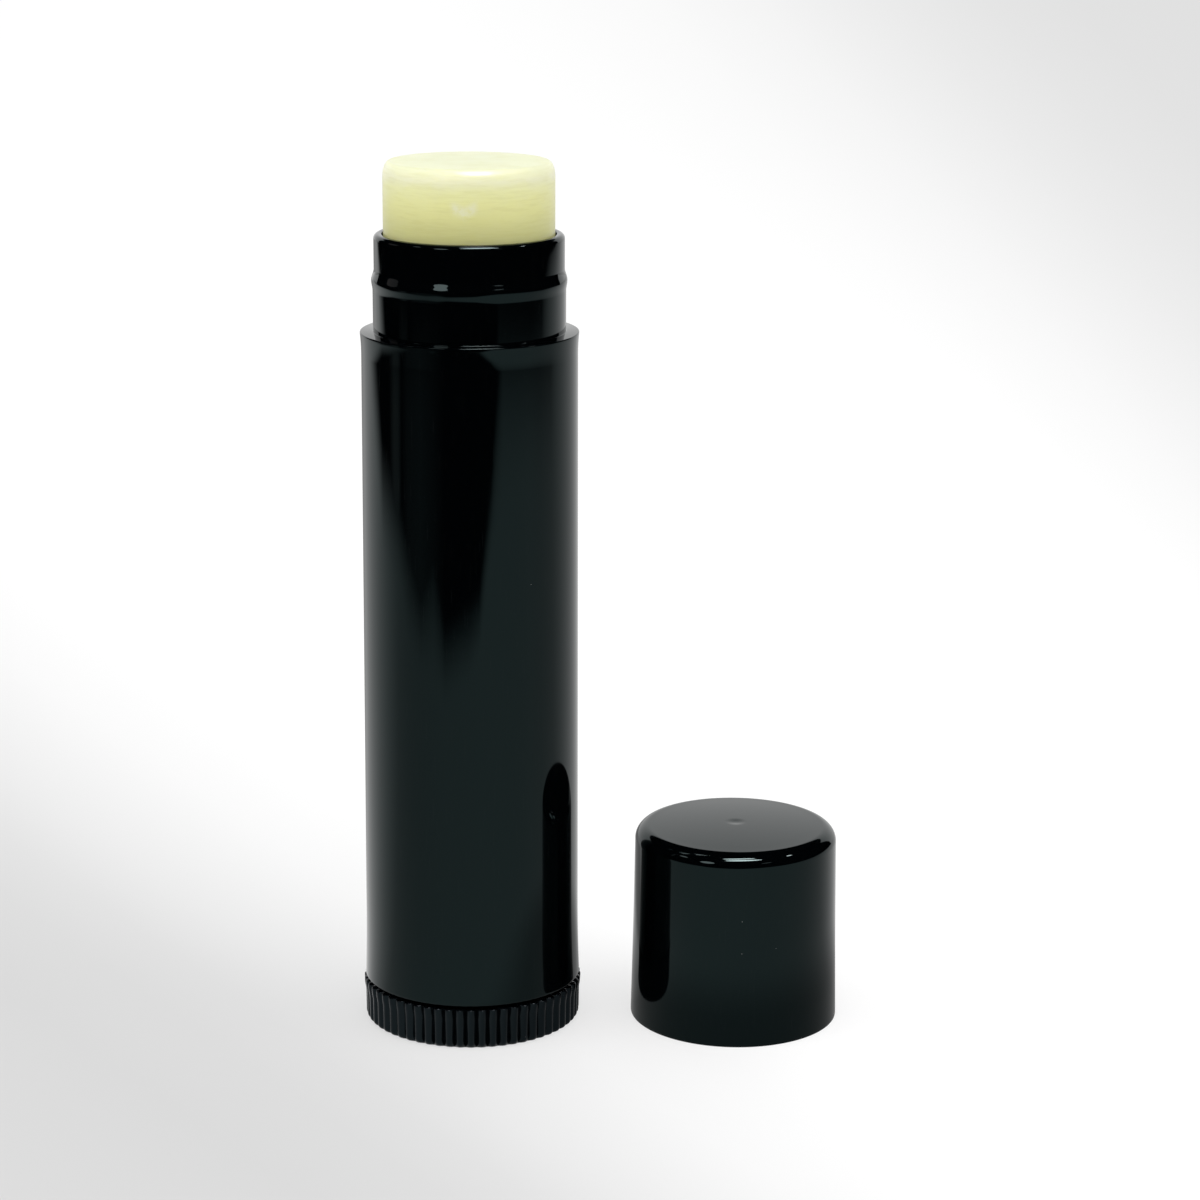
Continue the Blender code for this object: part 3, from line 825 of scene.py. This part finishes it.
@dataclass
class Barrel:
    """The tube: neck with the cap's bead, shoulder, bare label wall and bore."""

    axis: Vector
    finish: BlackPlastic = BlackPlastic("polished_black_barrel")
    steps: int = 224
    bore_radius: float = 6.35 * MM
    bore_edge: float = 0.07 * MM
    rim_z: float = 59.90 * MM
    shoulder_z: float = 52.77 * MM
    foot_z: float = 3.38 * MM
    neck_radius: float = 6.94 * MM
    neck_root_radius: float = 7.04 * MM
    neck_root_round: float = 0.05 * MM
    rim_round: float = 0.35 * MM
    bead_radius: float = 7.13 * MM
    bead_z: float = 56.50 * MM
    bead_rise: float = 0.85 * MM
    bead_fall: float = 0.75 * MM
    bead_steps: int = 10
    flare_steps: tuple[int, int] = (10, 12)
    shoulder_radius: float = 8.00 * MM
    shoulder_edge: float = 0.06 * MM
    label_top_radius: float = 7.92 * MM
    label_top_drop: float = 1.70 * MM
    label_foot_radius: float = 8.04 * MM
    label_foot_rise: float = 5.60 * MM
    foot_radius: float = 8.15 * MM
    foot_edge: float = 0.06 * MM
    snap_z: float = 5.064 * MM
    snap_radius: float = 6.65 * MM
    snap_half: float = 0.60 * MM
    lead_in: float = 0.45 * MM
    rib_width: float = 0.70 * MM
    rib_height: float = 0.40 * MM
    rib_sunk: float = 0.20 * MM
    rib_edge: float = 0.08 * MM
    rib_ends: tuple[float, float] = (6.58 * MM, 53.60 * MM)

    def outline(self) -> list[Corner]:
        """Work out the wall's half section, from the rim down and back up the bore.

        Returns:
            The points.
        """
        bead_top = Corner(self.neck_radius, self.bead_z + self.bead_rise)
        bead = Corner(self.bead_radius, self.bead_z)
        bead_foot = Corner(self.neck_root_radius, self.bead_z - self.bead_fall)
        flare_top = Corner(self.shoulder_radius, self.shoulder_z - 2 * self.shoulder_edge)
        label_top = Corner(self.label_top_radius, self.shoulder_z - self.label_top_drop)
        label_foot = Corner(self.label_foot_radius, self.foot_z + self.label_foot_rise)
        flare_foot = Corner(self.foot_radius, self.foot_z + 3 * self.foot_edge)
        outside = [
            Corner(self.neck_radius, self.rim_z, self.rim_round, 8),
            bead_top,
            *between(bead_top, bead, self.bead_steps, gentle),
            bead,
            *between(bead, bead_foot, self.bead_steps, gentle),
            bead_foot,
            Corner(self.neck_root_radius, self.shoulder_z, self.neck_root_round, 3),
            Corner(self.shoulder_radius, self.shoulder_z, self.shoulder_edge),
            flare_top,
            *between(flare_top, label_top, self.flare_steps[0], settling),
            label_top,
            label_foot,
            *reversed(between(flare_foot, label_foot, self.flare_steps[1], settling)),
            flare_foot,
            Corner(self.foot_radius, self.foot_z, self.foot_edge, 3),
        ]
        inside = [
            Corner(self.bore_radius + self.lead_in, self.foot_z),
            Corner(self.bore_radius, self.foot_z + self.lead_in),
            Corner(self.bore_radius, self.snap_z - self.snap_half),
            Corner(self.snap_radius, self.snap_z - self.snap_half / 2),
            Corner(self.snap_radius, self.snap_z + self.snap_half / 2),
            Corner(self.bore_radius, self.snap_z + self.snap_half),
            Corner(self.bore_radius, self.rim_z, self.bore_edge, 3),
        ]
        return outside + inside

    def make(self) -> list[bpy.types.Object]:
        """Make the tube and the guide ribs in its bore.

        Returns:
            The pieces.
        """
        material = self.finish.make()
        tube = as_object("tube_barrel", turned(self.outline(), self.axis, self.steps))
        sides = (self.bore_radius - self.rib_height, self.bore_radius + self.rib_sunk)
        shape = slabs(self.axis, sides, self.rib_ends, self.rib_width)
        upright = [
            e for e in shape.edges if abs(e.verts[0].co.z - e.verts[1].co.z) > self.rib_width
        ]
        round_off(shape, upright, self.rib_edge, 2)
        ribs = as_object("guide_ribs", shape)
        for piece in (tube, ribs):
            smooth(piece)
        return [
            seat(tube, material, Body.TUBE, Slot.BARREL, "barrel"),
            seat(ribs, material, Body.TUBE, Slot.BARREL),
        ]


@dataclass
class BaseWheel:
    """The knurled wheel with its snap collar, and the spindle on it."""

    axis: Vector
    finish: SatinPlastic = SatinPlastic("satin_black_wheel")
    ridge_count: int = 60
    columns: int = 14
    mouth_share: float = 0.94
    lead_columns: int = 3
    groove_depth: float = 0.30 * MM
    height: float = 3.08 * MM
    lip_radius: float = 8.26 * MM
    lip_round: float = 0.07 * MM
    lip_flat: float = 0.25 * MM
    lip_drop: float = 1.10 * MM
    side_radius: float = 8.16 * MM
    foot_radius: float = 8.14 * MM
    foot_round: float = 0.40 * MM
    foot_cut: float = 0.12 * MM
    ring_inner: float = 6.79 * MM
    recess: float = 0.80 * MM
    gate_radius: float = 1.10 * MM
    gate_depth: float = 0.25 * MM
    well_z: float = 2.10 * MM
    collar_radius: float = 6.20 * MM
    collar_inner: float = 5.05 * MM
    collar_top: float = 6.28 * MM
    collar_cut: float = 0.35 * MM
    snap_radius: float = 6.50 * MM
    snap_z: float = 5.064 * MM
    snap_half: float = 0.45 * MM
    core_radius: float = 1.70 * MM
    crest_radius: float = 2.45 * MM
    root_flare: float = 0.70 * MM
    spindle_root: float = 5.78 * MM
    spindle_sunk: float = 0.20 * MM
    spindle_tip: float = 55.00 * MM
    tip_cone: float = 0.90 * MM
    pitch: float = 2.50 * MM
    root_share: float = 0.44
    crest_share: float = 0.22
    flat: float = 1.58 * MM
    thread_steps: int = 40
    thread_weld: float = 0.01 * MM
    wheel_sharp: float = 42
    spindle_sharp: float = 30

    def outline(self) -> list[Corner]:
        """Work out the half section, from the spindle's root over the collar.

        Returns:
            The points.
        """
        inside = [
            Corner(0, self.spindle_root),
            Corner(self.core_radius, self.spindle_root),
            Corner(self.core_radius + self.root_flare, self.well_z),
            Corner(self.collar_inner, self.well_z),
            Corner(self.collar_inner, self.collar_top),
            Corner(self.collar_radius - self.collar_cut, self.collar_top),
            Corner(self.collar_radius, self.collar_top - self.collar_cut),
        ]
        snap = [
            Corner(self.collar_radius, self.snap_z + self.snap_half),
            Corner(self.snap_radius, self.snap_z + self.snap_half / 2),
            Corner(self.snap_radius, self.snap_z - self.snap_half / 2),
            Corner(self.collar_radius, self.snap_z - self.snap_half),
            Corner(self.collar_radius, self.height),
        ]
        lip_middle = Corner(self.lip_radius - self.lip_round, self.height - self.lip_round)
        lip_foot = Corner(self.lip_radius, self.height - self.lip_flat)
        side = Corner(self.side_radius, self.height - self.lip_drop)
        foot_middle = Corner(self.foot_radius - self.foot_round, self.foot_round)
        outside = [
            Corner(self.lip_radius - 2 * self.groove_depth, self.height),
            *arc(lip_middle, self.lip_round, 90, 0, 4),
            lip_foot,
            *between(lip_foot, side, 4, gentle),
            side,
            *arc(foot_middle, self.foot_round, 0, -90, 8),
        ]
        underside = [
            Corner(self.ring_inner, 0),
            Corner(self.ring_inner - self.recess / 2, self.recess),
            Corner(self.gate_radius, self.recess),
            Corner(self.gate_radius, self.recess + self.gate_depth),
            Corner(0, self.recess + self.gate_depth),
        ]
        return inside + snap + outside + underside

    def groove_floor(self, z: float) -> float:
        """Work out the radius of the grooves' floor, which is deepest at the foot.

        Args:
            z: The height.

        Returns:
            The radius there.
        """
        wall = self.foot_radius + (self.lip_radius - self.foot_radius) * z / self.height
        cut = self.foot_cut * max(0, 1 - z / (2 * self.foot_round))
        return wall - self.groove_depth - cut

    def knurled(self) -> bmesh.types.BMesh:
        """Turn the wheel, and press the grooves between its ridges.

        Returns:
            The closed shape.
        """
        shape = turned(self.outline(), self.axis, self.ridge_count * self.columns)
        for vert in shape.verts:
            distance = from_axis(vert, self.axis)
            over = distance - self.groove_floor(vert.co.z)
            if over <= 0 or vert.co.z > self.height + CLOSE:
                continue
            side = math.atan2(vert.co.y - self.axis.y, vert.co.x - self.axis.x) / FULL_TURN
            phase = (side * self.ridge_count - self.lead_columns / self.columns) % 1
            away = abs(phase - 0.5) * 2 / self.mouth_share
            if away < 1:
                sunk = over * (1 - math.sin(math.pi / 2 * away))
                set_from_axis(vert, self.axis, distance - sunk)
        return shape

    def threaded(self) -> bmesh.types.BMesh:
        """Wind the left-hand thread up the spindle, and cut its tip and flats.

        Returns:
            The closed shape.
        """
        low = self.spindle_root - self.spindle_sunk
        start = (int(low / self.pitch) - 2) * self.pitch
        turns = int((self.spindle_tip - low) / self.pitch) + 4
        half_root = self.pitch * self.root_share / 2
        half_crest = self.pitch * self.crest_share / 2
        outline = [
            (self.core_radius, start + half_root),
            (self.core_radius, start + self.pitch - half_root),
            (self.crest_radius, start + self.pitch - half_crest),
            (self.crest_radius, start + self.pitch + half_crest),
            (self.core_radius, start + self.pitch + half_root),
        ]
        shape = bmesh.new()
        verts = [shape.verts.new((self.axis.x + r, self.axis.y, z)) for r, z in outline]
        edges = [shape.edges.new(pair) for pair in zip(verts, verts[1:])]
        bmesh.ops.spin(
            shape,
            geom=verts + edges,
            cent=self.axis,
            axis=UP,
            dvec=Vector((0, 0, self.pitch / self.thread_steps)),
            angle=-FULL_TURN * turns,
            steps=self.thread_steps * turns,
        )
        bmesh.ops.remove_doubles(shape, verts=shape.verts, dist=self.thread_weld)
        for height, above in ((low, True), (self.spindle_tip, False)):
            cut = bmesh.ops.bisect_plane(
                shape,
                geom=shape.verts[:] + shape.edges[:] + shape.faces[:],
                dist=0,
                plane_co=(0, 0, height),
                plane_no=UP,
                clear_inner=above,
                clear_outer=not above,
            )
            rim = [e for e in cut["geom_cut"] if isinstance(e, bmesh.types.BMEdge)]
            bmesh.ops.edgeloop_fill(shape, edges=rim)
        for vert in shape.verts:
            widest = self.core_radius - self.tip_cone / 2 + (self.spindle_tip - vert.co.z)
            if from_axis(vert, self.axis) > widest:
                set_from_axis(vert, self.axis, widest)
            across = vert.co.y - self.axis.y
            vert.co.y = self.axis.y + max(-self.flat, min(self.flat, across))
        bmesh.ops.recalc_face_normals(shape, faces=shape.faces)
        return shape

    def make(self) -> list[bpy.types.Object]:
        """Make the wheel and its spindle.

        Returns:
            The pieces.
        """
        material = self.finish.make()
        wheel = as_object("knurled_wheel", self.knurled())
        smooth(wheel, self.wheel_sharp)
        spindle = as_object("threaded_spindle", self.threaded())
        smooth(spindle, self.spindle_sharp)
        return [
            seat(wheel, material, Body.WHEEL, Slot.WHEEL, "base_wheel"),
            seat(spindle, material, Body.WHEEL, Slot.WHEEL),
        ]


@dataclass
class Balm:
    """The balm, cast on the elevator round the spindle and the guide ribs."""

    axis: Vector
    steps: int = 192
    radius: float = 6.24 * MM
    top_z: float = 65.20 * MM
    edge_width: float = 0.52 * MM
    edge_drop: float = 1.15 * MM
    crown: float = 0.06 * MM
    crown_steps: int = 6
    side_drops: tuple[float, ...] = (1.6 * MM, 3 * MM, 4.6 * MM, 12 * MM, 24 * MM, 36 * MM)
    cast_z: float = 19.08 * MM
    plug_radius: float = 4.95 * MM
    plug_z: float = 13.08 * MM
    hub_radius: float = 3.89 * MM
    hub_top: float = 16.08 * MM
    bore_radius: float = 2.75 * MM
    bore_end: float = 60.50 * MM
    bore_cone: float = 0.90 * MM
    groove_floor: float = 5.75 * MM
    groove_over: float = 0.40 * MM
    groove_under: float = 0.50 * MM
    groove_top: float = 59.30 * MM
    groove_width: float = 1.10 * MM
    rub_shift: tuple[float, float] = (-0.1 * MM, -6.0 * MM)
    rub_z: float = 62.1 * MM

    def finish(self) -> CastBalm:
        """Return the balm's finish, rubbed in one place on its front."""
        right, away = self.rub_shift
        return CastBalm("cast_pale_balm", (self.axis.x + right, self.axis.y + away, self.rub_z))

    def outline(self) -> list[Corner]:
        """Work out the half section, from the crown to the blind bore.

        Returns:
            The points.
        """
        flat = self.radius - self.edge_width
        shares = [i / self.crown_steps for i in range(self.crown_steps)]
        crown = [Corner(flat * s, self.top_z - self.crown * s**2) for s in shares]
        middle = Corner(flat, self.top_z - self.crown - self.edge_drop)
        edge = arc(middle, self.edge_width, 90, 0, 18, self.edge_drop)
        side = [Corner(self.radius, self.top_z - drop) for drop in self.side_drops]
        below = [
            Corner(self.radius, self.cast_z),
            Corner(self.plug_radius, self.cast_z),
            Corner(self.plug_radius, self.plug_z),
            Corner(self.hub_radius, self.plug_z),
            Corner(self.hub_radius, self.hub_top),
            Corner(self.bore_radius, self.hub_top),
            Corner(self.bore_radius, self.bore_end - self.bore_cone),
            Corner(0, self.bore_end),
        ]
        return crown + edge + side + below

    def make(self) -> list[bpy.types.Object]:
        """Make the balm and take the guide ribs' grooves out of its side.

        Returns:
            The piece.
        """
        balm = as_object("cast_balm", turned(self.outline(), self.axis, self.steps))
        sides = (self.groove_floor, self.radius + self.groove_over)
        ends = (self.cast_z - self.groove_under, self.groove_top)
        grooves = slabs(self.axis, sides, ends, self.groove_width)
        cut_away(balm, as_object("groove_cutter", grooves))
        smooth(balm)
        return [seat(balm, self.finish().make(), Body.CARRIER, Slot.BALM, "balm")]


@dataclass
class Cap:
    """The push-on cap: crowned top with its gate dimple, and a thin wall."""

    axis: Vector
    finish: BlackPlastic = BlackPlastic("polished_black_cap", dust=0.07)
    steps: int = 224
    radius: float = 7.86 * MM
    inner_radius: float = 7.16 * MM
    height: float = 14.95 * MM
    crown: float = 0.21 * MM
    crown_steps: int = 8
    draft: float = 0.24 * MM
    draft_break: float = 5.68 * MM
    edge_round: float = 1.10 * MM
    mouth_edge: float = 0.10 * MM
    mouth_lead_in: float = 0.14 * MM
    bead_z: float = 2.879 * MM
    bead_span: float = 1.40 * MM
    bead_rise: float = 0.10 * MM
    bead_steps: int = 10
    wall: float = 0.70 * MM
    top_wall: float = 1.05 * MM
    roof_round: float = 0.80 * MM
    dimple_radius: float = 0.90 * MM
    dimple_depth: float = 0.055 * MM
    dimple_steps: int = 6

    def top(self, flat: float) -> list[Corner]:
        """Work out the top's points, from the dimple's middle over the crown.

        Args:
            flat: The radius where the edge's rounding starts.

        Returns:
            The points.
        """
        peak = self.height + self.crown
        points = []
        for i in range(self.dimple_steps):
            share = i / self.dimple_steps
            sunk = self.dimple_depth * (1 - gentle(share))
            points.append(Corner(self.dimple_radius * share, peak - sunk))
        for i in range(self.crown_steps):
            r = self.dimple_radius + (flat - self.dimple_radius) * i / self.crown_steps
            points.append(Corner(r, peak - self.crown * (r / flat) ** 2))
        return points

    def bead(self) -> list[Corner]:
        """Work out the points of the snap bead inside, from its foot up.

        Returns:
            The points.
        """
        points = []
        for i in range(self.bead_steps + 1):
            share = i / self.bead_steps
            r = self.inner_radius - self.bead_rise * gentle(2 * share)
            points.append(Corner(r, self.bead_z + self.bead_span * (share - 0.5)))
        return points

    def outline(self) -> list[Corner]:
        """Work out the half section, from the dimple out, down and back up inside.

        Returns:
            The points.
        """
        top_radius = self.radius - self.draft
        flat = top_radius - self.edge_round
        edge = arc(Corner(flat, self.height - self.edge_round), self.edge_round, 90, 0, 20)
        waist = Corner(self.radius - self.draft / 2, self.draft_break)
        mouth = Corner(self.radius, 3 * self.mouth_edge)
        side = [
            *between(edge[-1], waist, 4, even),
            waist,
            *between(waist, mouth, 2, even),
            mouth,
            Corner(self.radius, 0, self.mouth_edge, 4),
            Corner(self.inner_radius + self.mouth_lead_in, 0),
            Corner(self.inner_radius, 2 * self.mouth_lead_in),
        ]
        roof_z = self.height - self.top_wall
        roof_r = top_radius - self.wall
        roof_middle = Corner(roof_r - self.roof_round, roof_z - self.roof_round)
        roof = arc(roof_middle, self.roof_round, 0, 90, 6)
        return self.top(flat) + edge + side + self.bead() + roof + [Corner(0, roof_z)]

    def make(self) -> list[bpy.types.Object]:
        """Make the cap.

        Returns:
            The piece.
        """
        cap = as_object("push_on_cap", turned(self.outline(), self.axis, self.steps))
        smooth(cap)
        return [seat(cap, self.finish.make(), Body.CAP, Slot.CAP, "cap")]


@dataclass
class Elevator:
    """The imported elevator, which keeps its shape and gets a plain finish."""

    finish: SatinPlastic = SatinPlastic("moulded_black_elevator", gloss=0.30, grain=0.25 * MM)

    def make(self) -> list[bpy.types.Object]:
        """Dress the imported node.

        Returns:
            The piece.
        """
        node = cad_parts["elevator"]
        node.data.materials.clear()
        node.data.materials.append(self.finish.make())
        return [node]


@dataclass(frozen=True)
class Lamp:
    """A flat lamp that faces the object.

    Attributes:
        name: The lamp's name.
        azimuth: Where it stands, in degrees from the front to the right.
        elevation: Its height above the floor, in degrees.
        distance: How far away it stands.
        width: Its width.
        height: Its height.
        radiance: How bright its face is, where 1 is white.
        gleam: Whether it only shows in the gloss, or else only lights.
        colour: The colour of its light, warm so that the cool gloss mirrors it white.
    """

    name: str
    azimuth: float
    elevation: float
    distance: float
    width: float
    height: float
    radiance: float
    gleam: bool = True
    colour: Colour = (1.0, 0.80, 0.80)

    def make(self, target: Vector) -> None:
        """Hang the lamp.

        Args:
            target: The point that it faces.
        """
        data = bpy.data.lights.new(self.name, "AREA")
        data.shape = "ELLIPSE" if self.gleam else "RECTANGLE"
        data.size = self.width
        data.size_y = self.height
        face = self.width * self.height * (math.pi / 4 if self.gleam else 1)
        data.energy = self.radiance * math.pi * face
        data.color = self.colour
        lamp = bpy.data.objects.new(self.name, data)
        side, rise = math.radians(self.azimuth), math.radians(self.elevation)
        level = math.cos(rise)
        away = Vector((math.sin(side) * level, -math.cos(side) * level, math.sin(rise)))
        lamp.location = target + away * self.distance
        lamp.rotation_euler = away.to_track_quat("Z", "Y").to_euler()
        lamp.visible_camera = False
        lamp.visible_diffuse = not self.gleam
        lamp.visible_glossy = self.gleam
        bpy.context.scene.collection.objects.link(lamp)


@dataclass(frozen=True)
class Fade:
    """How the paper turns grey along lines that fan out over the floor.

    Attributes:
        centre: The point of the floor, before the set, that they fan out from.
        stops: The painted shade's levels at some slopes of the lines, where 1 is
            white. A slope is the step to the right for each step away.
    """

    centre: tuple[float, float]
    stops: tuple[tuple[float, float], ...]


def as_card(card: bpy.types.Object, material: bpy.types.Material) -> None:
    """Make an object a card that only shows in the gloss.

    Args:
        card: The object.
        material: What it shows there.
    """
    card.data.materials.append(material)
    card.visible_camera = False
    card.visible_diffuse = False
    card.visible_transmission = False
    card.visible_volume_scatter = False
    card.visible_shadow = False


def disc(radius: float, height: float = 0) -> bmesh.types.BMesh:
    """Make a flat disc round the frame's origin.

    Args:
        radius: Its radius.
        height: Its height over the floor.

    Returns:
        The disc.
    """
    shape = bmesh.new()
    lift = Matrix.Translation((0, 0, height))
    bmesh.ops.create_circle(shape, cap_ends=True, segments=96, radius=radius, matrix=lift)
    return shape


@dataclass
class Studio:
    """The pale floor, what the gloss mirrors, the lamps and the camera."""

    target: Vector
    cap_axis: Vector
    paper: float = 0.30
    floor_radius: float = 3.0
    # The two fades are painted shade that greys the paper's shown level towards two sides.
    right_fade: Fade = Fade(
        (83.5 * MM, -260 * MM),
        (
            (-0.116, 1.000), (-0.080, 0.975), (-0.045, 0.935), (-0.012, 0.870), (0.007, 0.815),
            (0.031, 0.750), (0.055, 0.700), (0.081, 0.665), (0.121, 0.650),
        ),
    )  # fmt: skip
    left_fade: Fade = Fade(
        (140.8 * MM, -260 * MM),
        (
            (-0.809, 0.510), (-0.711, 0.505), (-0.670, 0.545), (-0.644, 0.600),
            (-0.616, 0.700), (-0.565, 0.850), (-0.527, 0.915), (-0.489, 1.000),
        ),
    )  # fmt: skip
    fade_near: float = 95 * MM
    light_level: float = 0.90
    room_radius: float = 0.60
    window_height: float = 30.0
    window_side: float = 135.0
    card_lift: float = 0.02 * MM
    card_bright: float = 1.10
    # For a direction, in degrees from the front to the right: how far from the tube the
    # table starts to darken, the width over which it does, and how bright it is before that.
    card_stops: tuple[tuple[float, Colour], ...] = (
        (-180, (0.60, 0.10, 0.34)),
        (-162, (0.60, 0.10, 0.34)),
        (-147, (0.60, 0.10, 0.78)),
        (-131, (0.28, 0.20, 0.95)),
        (-118, (0.22, 0.13, 1.00)),
        (-103, (0.16, 0.08, 0.94)),
        (-90, (0.15, 0.08, 0.80)),
        (-79, (0.15, 0.06, 0.63)),
        (-65, (0.12, 0.065, 0.61)),
        (-51, (0.11, 0.05, 0.63)),
        (-37, (0.105, 0.08, 0.67)),
        (-25, (0.10, 0.04, 0.70)),
        (0, (0.11, 0.04, 0.72)),
        (11, (0.122, 0.035, 0.73)),
        (24, (0.17, 0.05, 0.73)),
        (37, (0.19, 0.19, 0.72)),
        (65, (0.20, 0.17, 0.68)),
        (80, (0.19, 0.18, 0.60)),
        (97, (0.19, 0.20, 0.56)),
        (118, (0.20, 0.60, 0.70)),
        (150, (0.50, 0.40, 0.80)),
        (165, (0.60, 0.10, 0.75)),
        (180, (0.60, 0.10, 0.34)),
    )
    cap_shade: float = 0.46
    cap_shade_reach: tuple[float, float] = (28 * MM, 13 * MM)
    gleam_stops: tuple[tuple[float, float], ...] = (
        (-91, 0.00), (-84, 0.22), (-79, 0.22), (-74, 0.00),
        (-66, 0.10), (-51, 0.14), (-37, 0.08), (-25, 0.00),
    )  # fmt: skip
    gleam_fade: tuple[float, float] = (0.25, 0.38)
    lamps: tuple[Lamp, ...] = (
        Lamp("front_strip", 18, 58, 0.26, 0.145, 0.038, 46),
        Lamp("back_strip", 18, 71, 0.26, 0.112, 0.029, 46),
        Lamp("left_window", -33, 30, 0.42, 0.115, 0.10, 6.5),
        Lamp("left_corner", -70, 40, 0.42, 0.07, 0.04, 5),
        Lamp("left_wall", -102, 19, 0.45, 0.15, 0.13, 0.4),
        Lamp("right_slit", 38, 30, 0.42, 0.08, 0.016, 3.5),
        Lamp("right_window", 84, 48, 0.42, 0.04, 0.034, 32),
        Lamp("overhead_soft", 0, 75, 0.50, 0.35, 0.35, 1.2, False, (1, 1, 1)),
        Lamp("left_soft", -72, 30, 0.60, 0.40, 0.40, 1.35, False, (1, 1, 1)),
        Lamp("right_soft", 66, 30, 0.60, 0.40, 0.40, 0.95, False, (1, 1, 1)),
    )
    camera_place: tuple[float, float, float] = (-0.186 * MM, -236.782 * MM, 92.226 * MM)
    camera_pitch: float = 0.247
    camera_roll: float = 0.0052
    camera_lens: float = 98.36
    camera_film: float = 36.0

    def seen(self, bench: Bench) -> Wire:
        """Tell what is seen straight, in gloss or through glass.

        Args:
            bench: The material or world that is being made.

        Returns:
            1 for what is seen so, and 0 for what only gives light.
        """
        rays = bench.add("ShaderNodeLightPath").socket.node.outputs
        names = ("Is Camera Ray", "Is Glossy Ray", "Is Transmission Ray")
        straight, mirrored, through = (Wire(bench, rays[name]) for name in names)
        return straight.larger(mirrored).larger(through)

    def light_sky(self) -> None:
        """Light everything evenly, and show white behind the object."""
        world = bpy.data.worlds.new("studio_sky")
        bpy.context.scene.world = world
        bench = Bench(world)
        level = self.light_level + self.seen(bench) * (1 - self.light_level)
        bench.show("ShaderNodeBackground", {"Color": level, "Strength": 1})

    def faded(self, bench: Bench) -> Wire:
        """Work out the paper's level, white between two soft grey sides.

        Args:
            bench: The floor's material.

        Returns:
            The level, where 1 is white.
        """
        # The level carries the two fades' painted shade.
        across, away, _ = bench.axes(bench.place())
        level = 1.0
        for fade in (self.right_fade, self.left_fade):
            x, y = fade.centre
            slope = (across - x) / (away - y).larger(self.fade_near)
            level = level * bench.ramp(slope, fade.stops)
        return level

    def lay_floor(self) -> None:
        """Lay the pale floor, which keeps the object's shadow."""
        bench = Bench.for_material("pale_paper")
        shown = self.seen(bench) * (1 - self.paper * self.light_level)
        sockets = {
            "Base Color": (self.paper, self.paper, self.paper, 1),
            "Roughness": 1,
            "Specular IOR Level": 0,
            "Emission Color": self.faded(bench) * shown,
            "Emission Strength": 1,
        }
        floor = as_object("pale_floor", disc(self.floor_radius))
        floor.data.materials.append(bench.show("ShaderNodeBsdfPrincipled", sockets))

    def hang_room(self) -> None:
        """Stand a dark room round the set, open low down behind it."""
        bench = Bench.for_material("dark_room")
        cloth = bench.show("ShaderNodeBsdfDiffuse", {"Color": (0, 0, 0, 1)})
        room = bmesh.new()
        bmesh.ops.create_uvsphere(room, u_segments=72, v_segments=36, radius=self.room_radius)
        window = []
        for face in room.faces:
            x, y, z = face.calc_center_median()
            rise = math.degrees(math.atan2(z, math.hypot(x, y)))
            side = abs(math.degrees(math.atan2(x, -y)))
            if rise < 0 or (rise < self.window_height and side > self.window_side):
                window.append(face)
        bmesh.ops.delete(room, geom=window, context="FACES")
        as_card(as_object("dark_room", room), cloth)

    def lay_card(self) -> None:
        """Lay the card that the gloss mirrors in place of the floor."""
        bench = Bench.for_material("table_card")
        place = bench.place_from(self.target)
        across, away, _ = bench.axes(place)
        sockets = {0: across, 1: 0 - away}
        side = bench.add("ShaderNodeMath", {"operation": "ARCTAN2"}, sockets) * (360 / FULL_TURN)
        distance = bench.length(place)
        start, width, level = bench.axes(bench.ramp(side, self.card_stops))
        table = level * (1 - ((distance - start) / width).ease(0, 1)) * self.card_bright
        to_cap = bench.length(bench.place_from(self.cap_axis))
        table = table * (1 - to_cap.ease(*self.cap_shade_reach) * self.cap_shade)
        gleam = bench.axes(bench.ramp(side, self.gleam_stops))[0]
        gleam = gleam * (1 - distance.ease(*self.gleam_fade))
        sockets = {"Color": table.larger(gleam), "Strength": 1}
        card = bench.show("ShaderNodeEmission", sockets)
        as_card(as_object("table_card", disc(self.room_radius, self.card_lift)), card)

    def set_camera(self) -> None:
        """Set the camera where the photograph was taken."""
        data = bpy.data.cameras.new("camera")
        data.sensor_width = self.camera_film
        data.lens = self.camera_lens
        data.clip_start = 0.01
        camera = bpy.data.objects.new("camera", data)
        tilt = Matrix.Rotation(math.pi / 2 - self.camera_pitch, 4, "X")
        roll = Matrix.Rotation(self.camera_roll, 4, "Z")
        camera.matrix_world = Matrix.Translation(self.camera_place) @ tilt @ roll
        bpy.context.scene.collection.objects.link(camera)
        bpy.context.scene.camera = camera

    def make(self) -> None:
        """Set up the whole studio."""
        self.light_sky()
        self.lay_floor()
        self.hang_room()
        self.lay_card()
        for lamp in self.lamps:
            lamp.make(self.target)
        self.set_camera()
        bpy.context.scene.view_settings.view_transform = "Standard"


def main() -> None:
    """Build the pieces in order, then the studio."""
    logging.basicConfig(level=logging.INFO, format="%(name)s: %(message)s")
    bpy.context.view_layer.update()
    tube_axis, cap_axis = axis_of("barrel"), axis_of("cap")
    parts = (Barrel(tube_axis), BaseWheel(tube_axis), Elevator(), Balm(tube_axis), Cap(cap_axis))
    for part in parts:
        for piece in part.make():
            finish = piece.data.materials[0].name
            LOG.info("%s: %d faces, %s", piece.name, len(piece.data.polygons), finish)
    studio = Studio(tube_axis, cap_axis)
    studio.make()
    LOG.info("studio: %d lamps", len(studio.lamps))


if __name__ == "__main__":
    main()
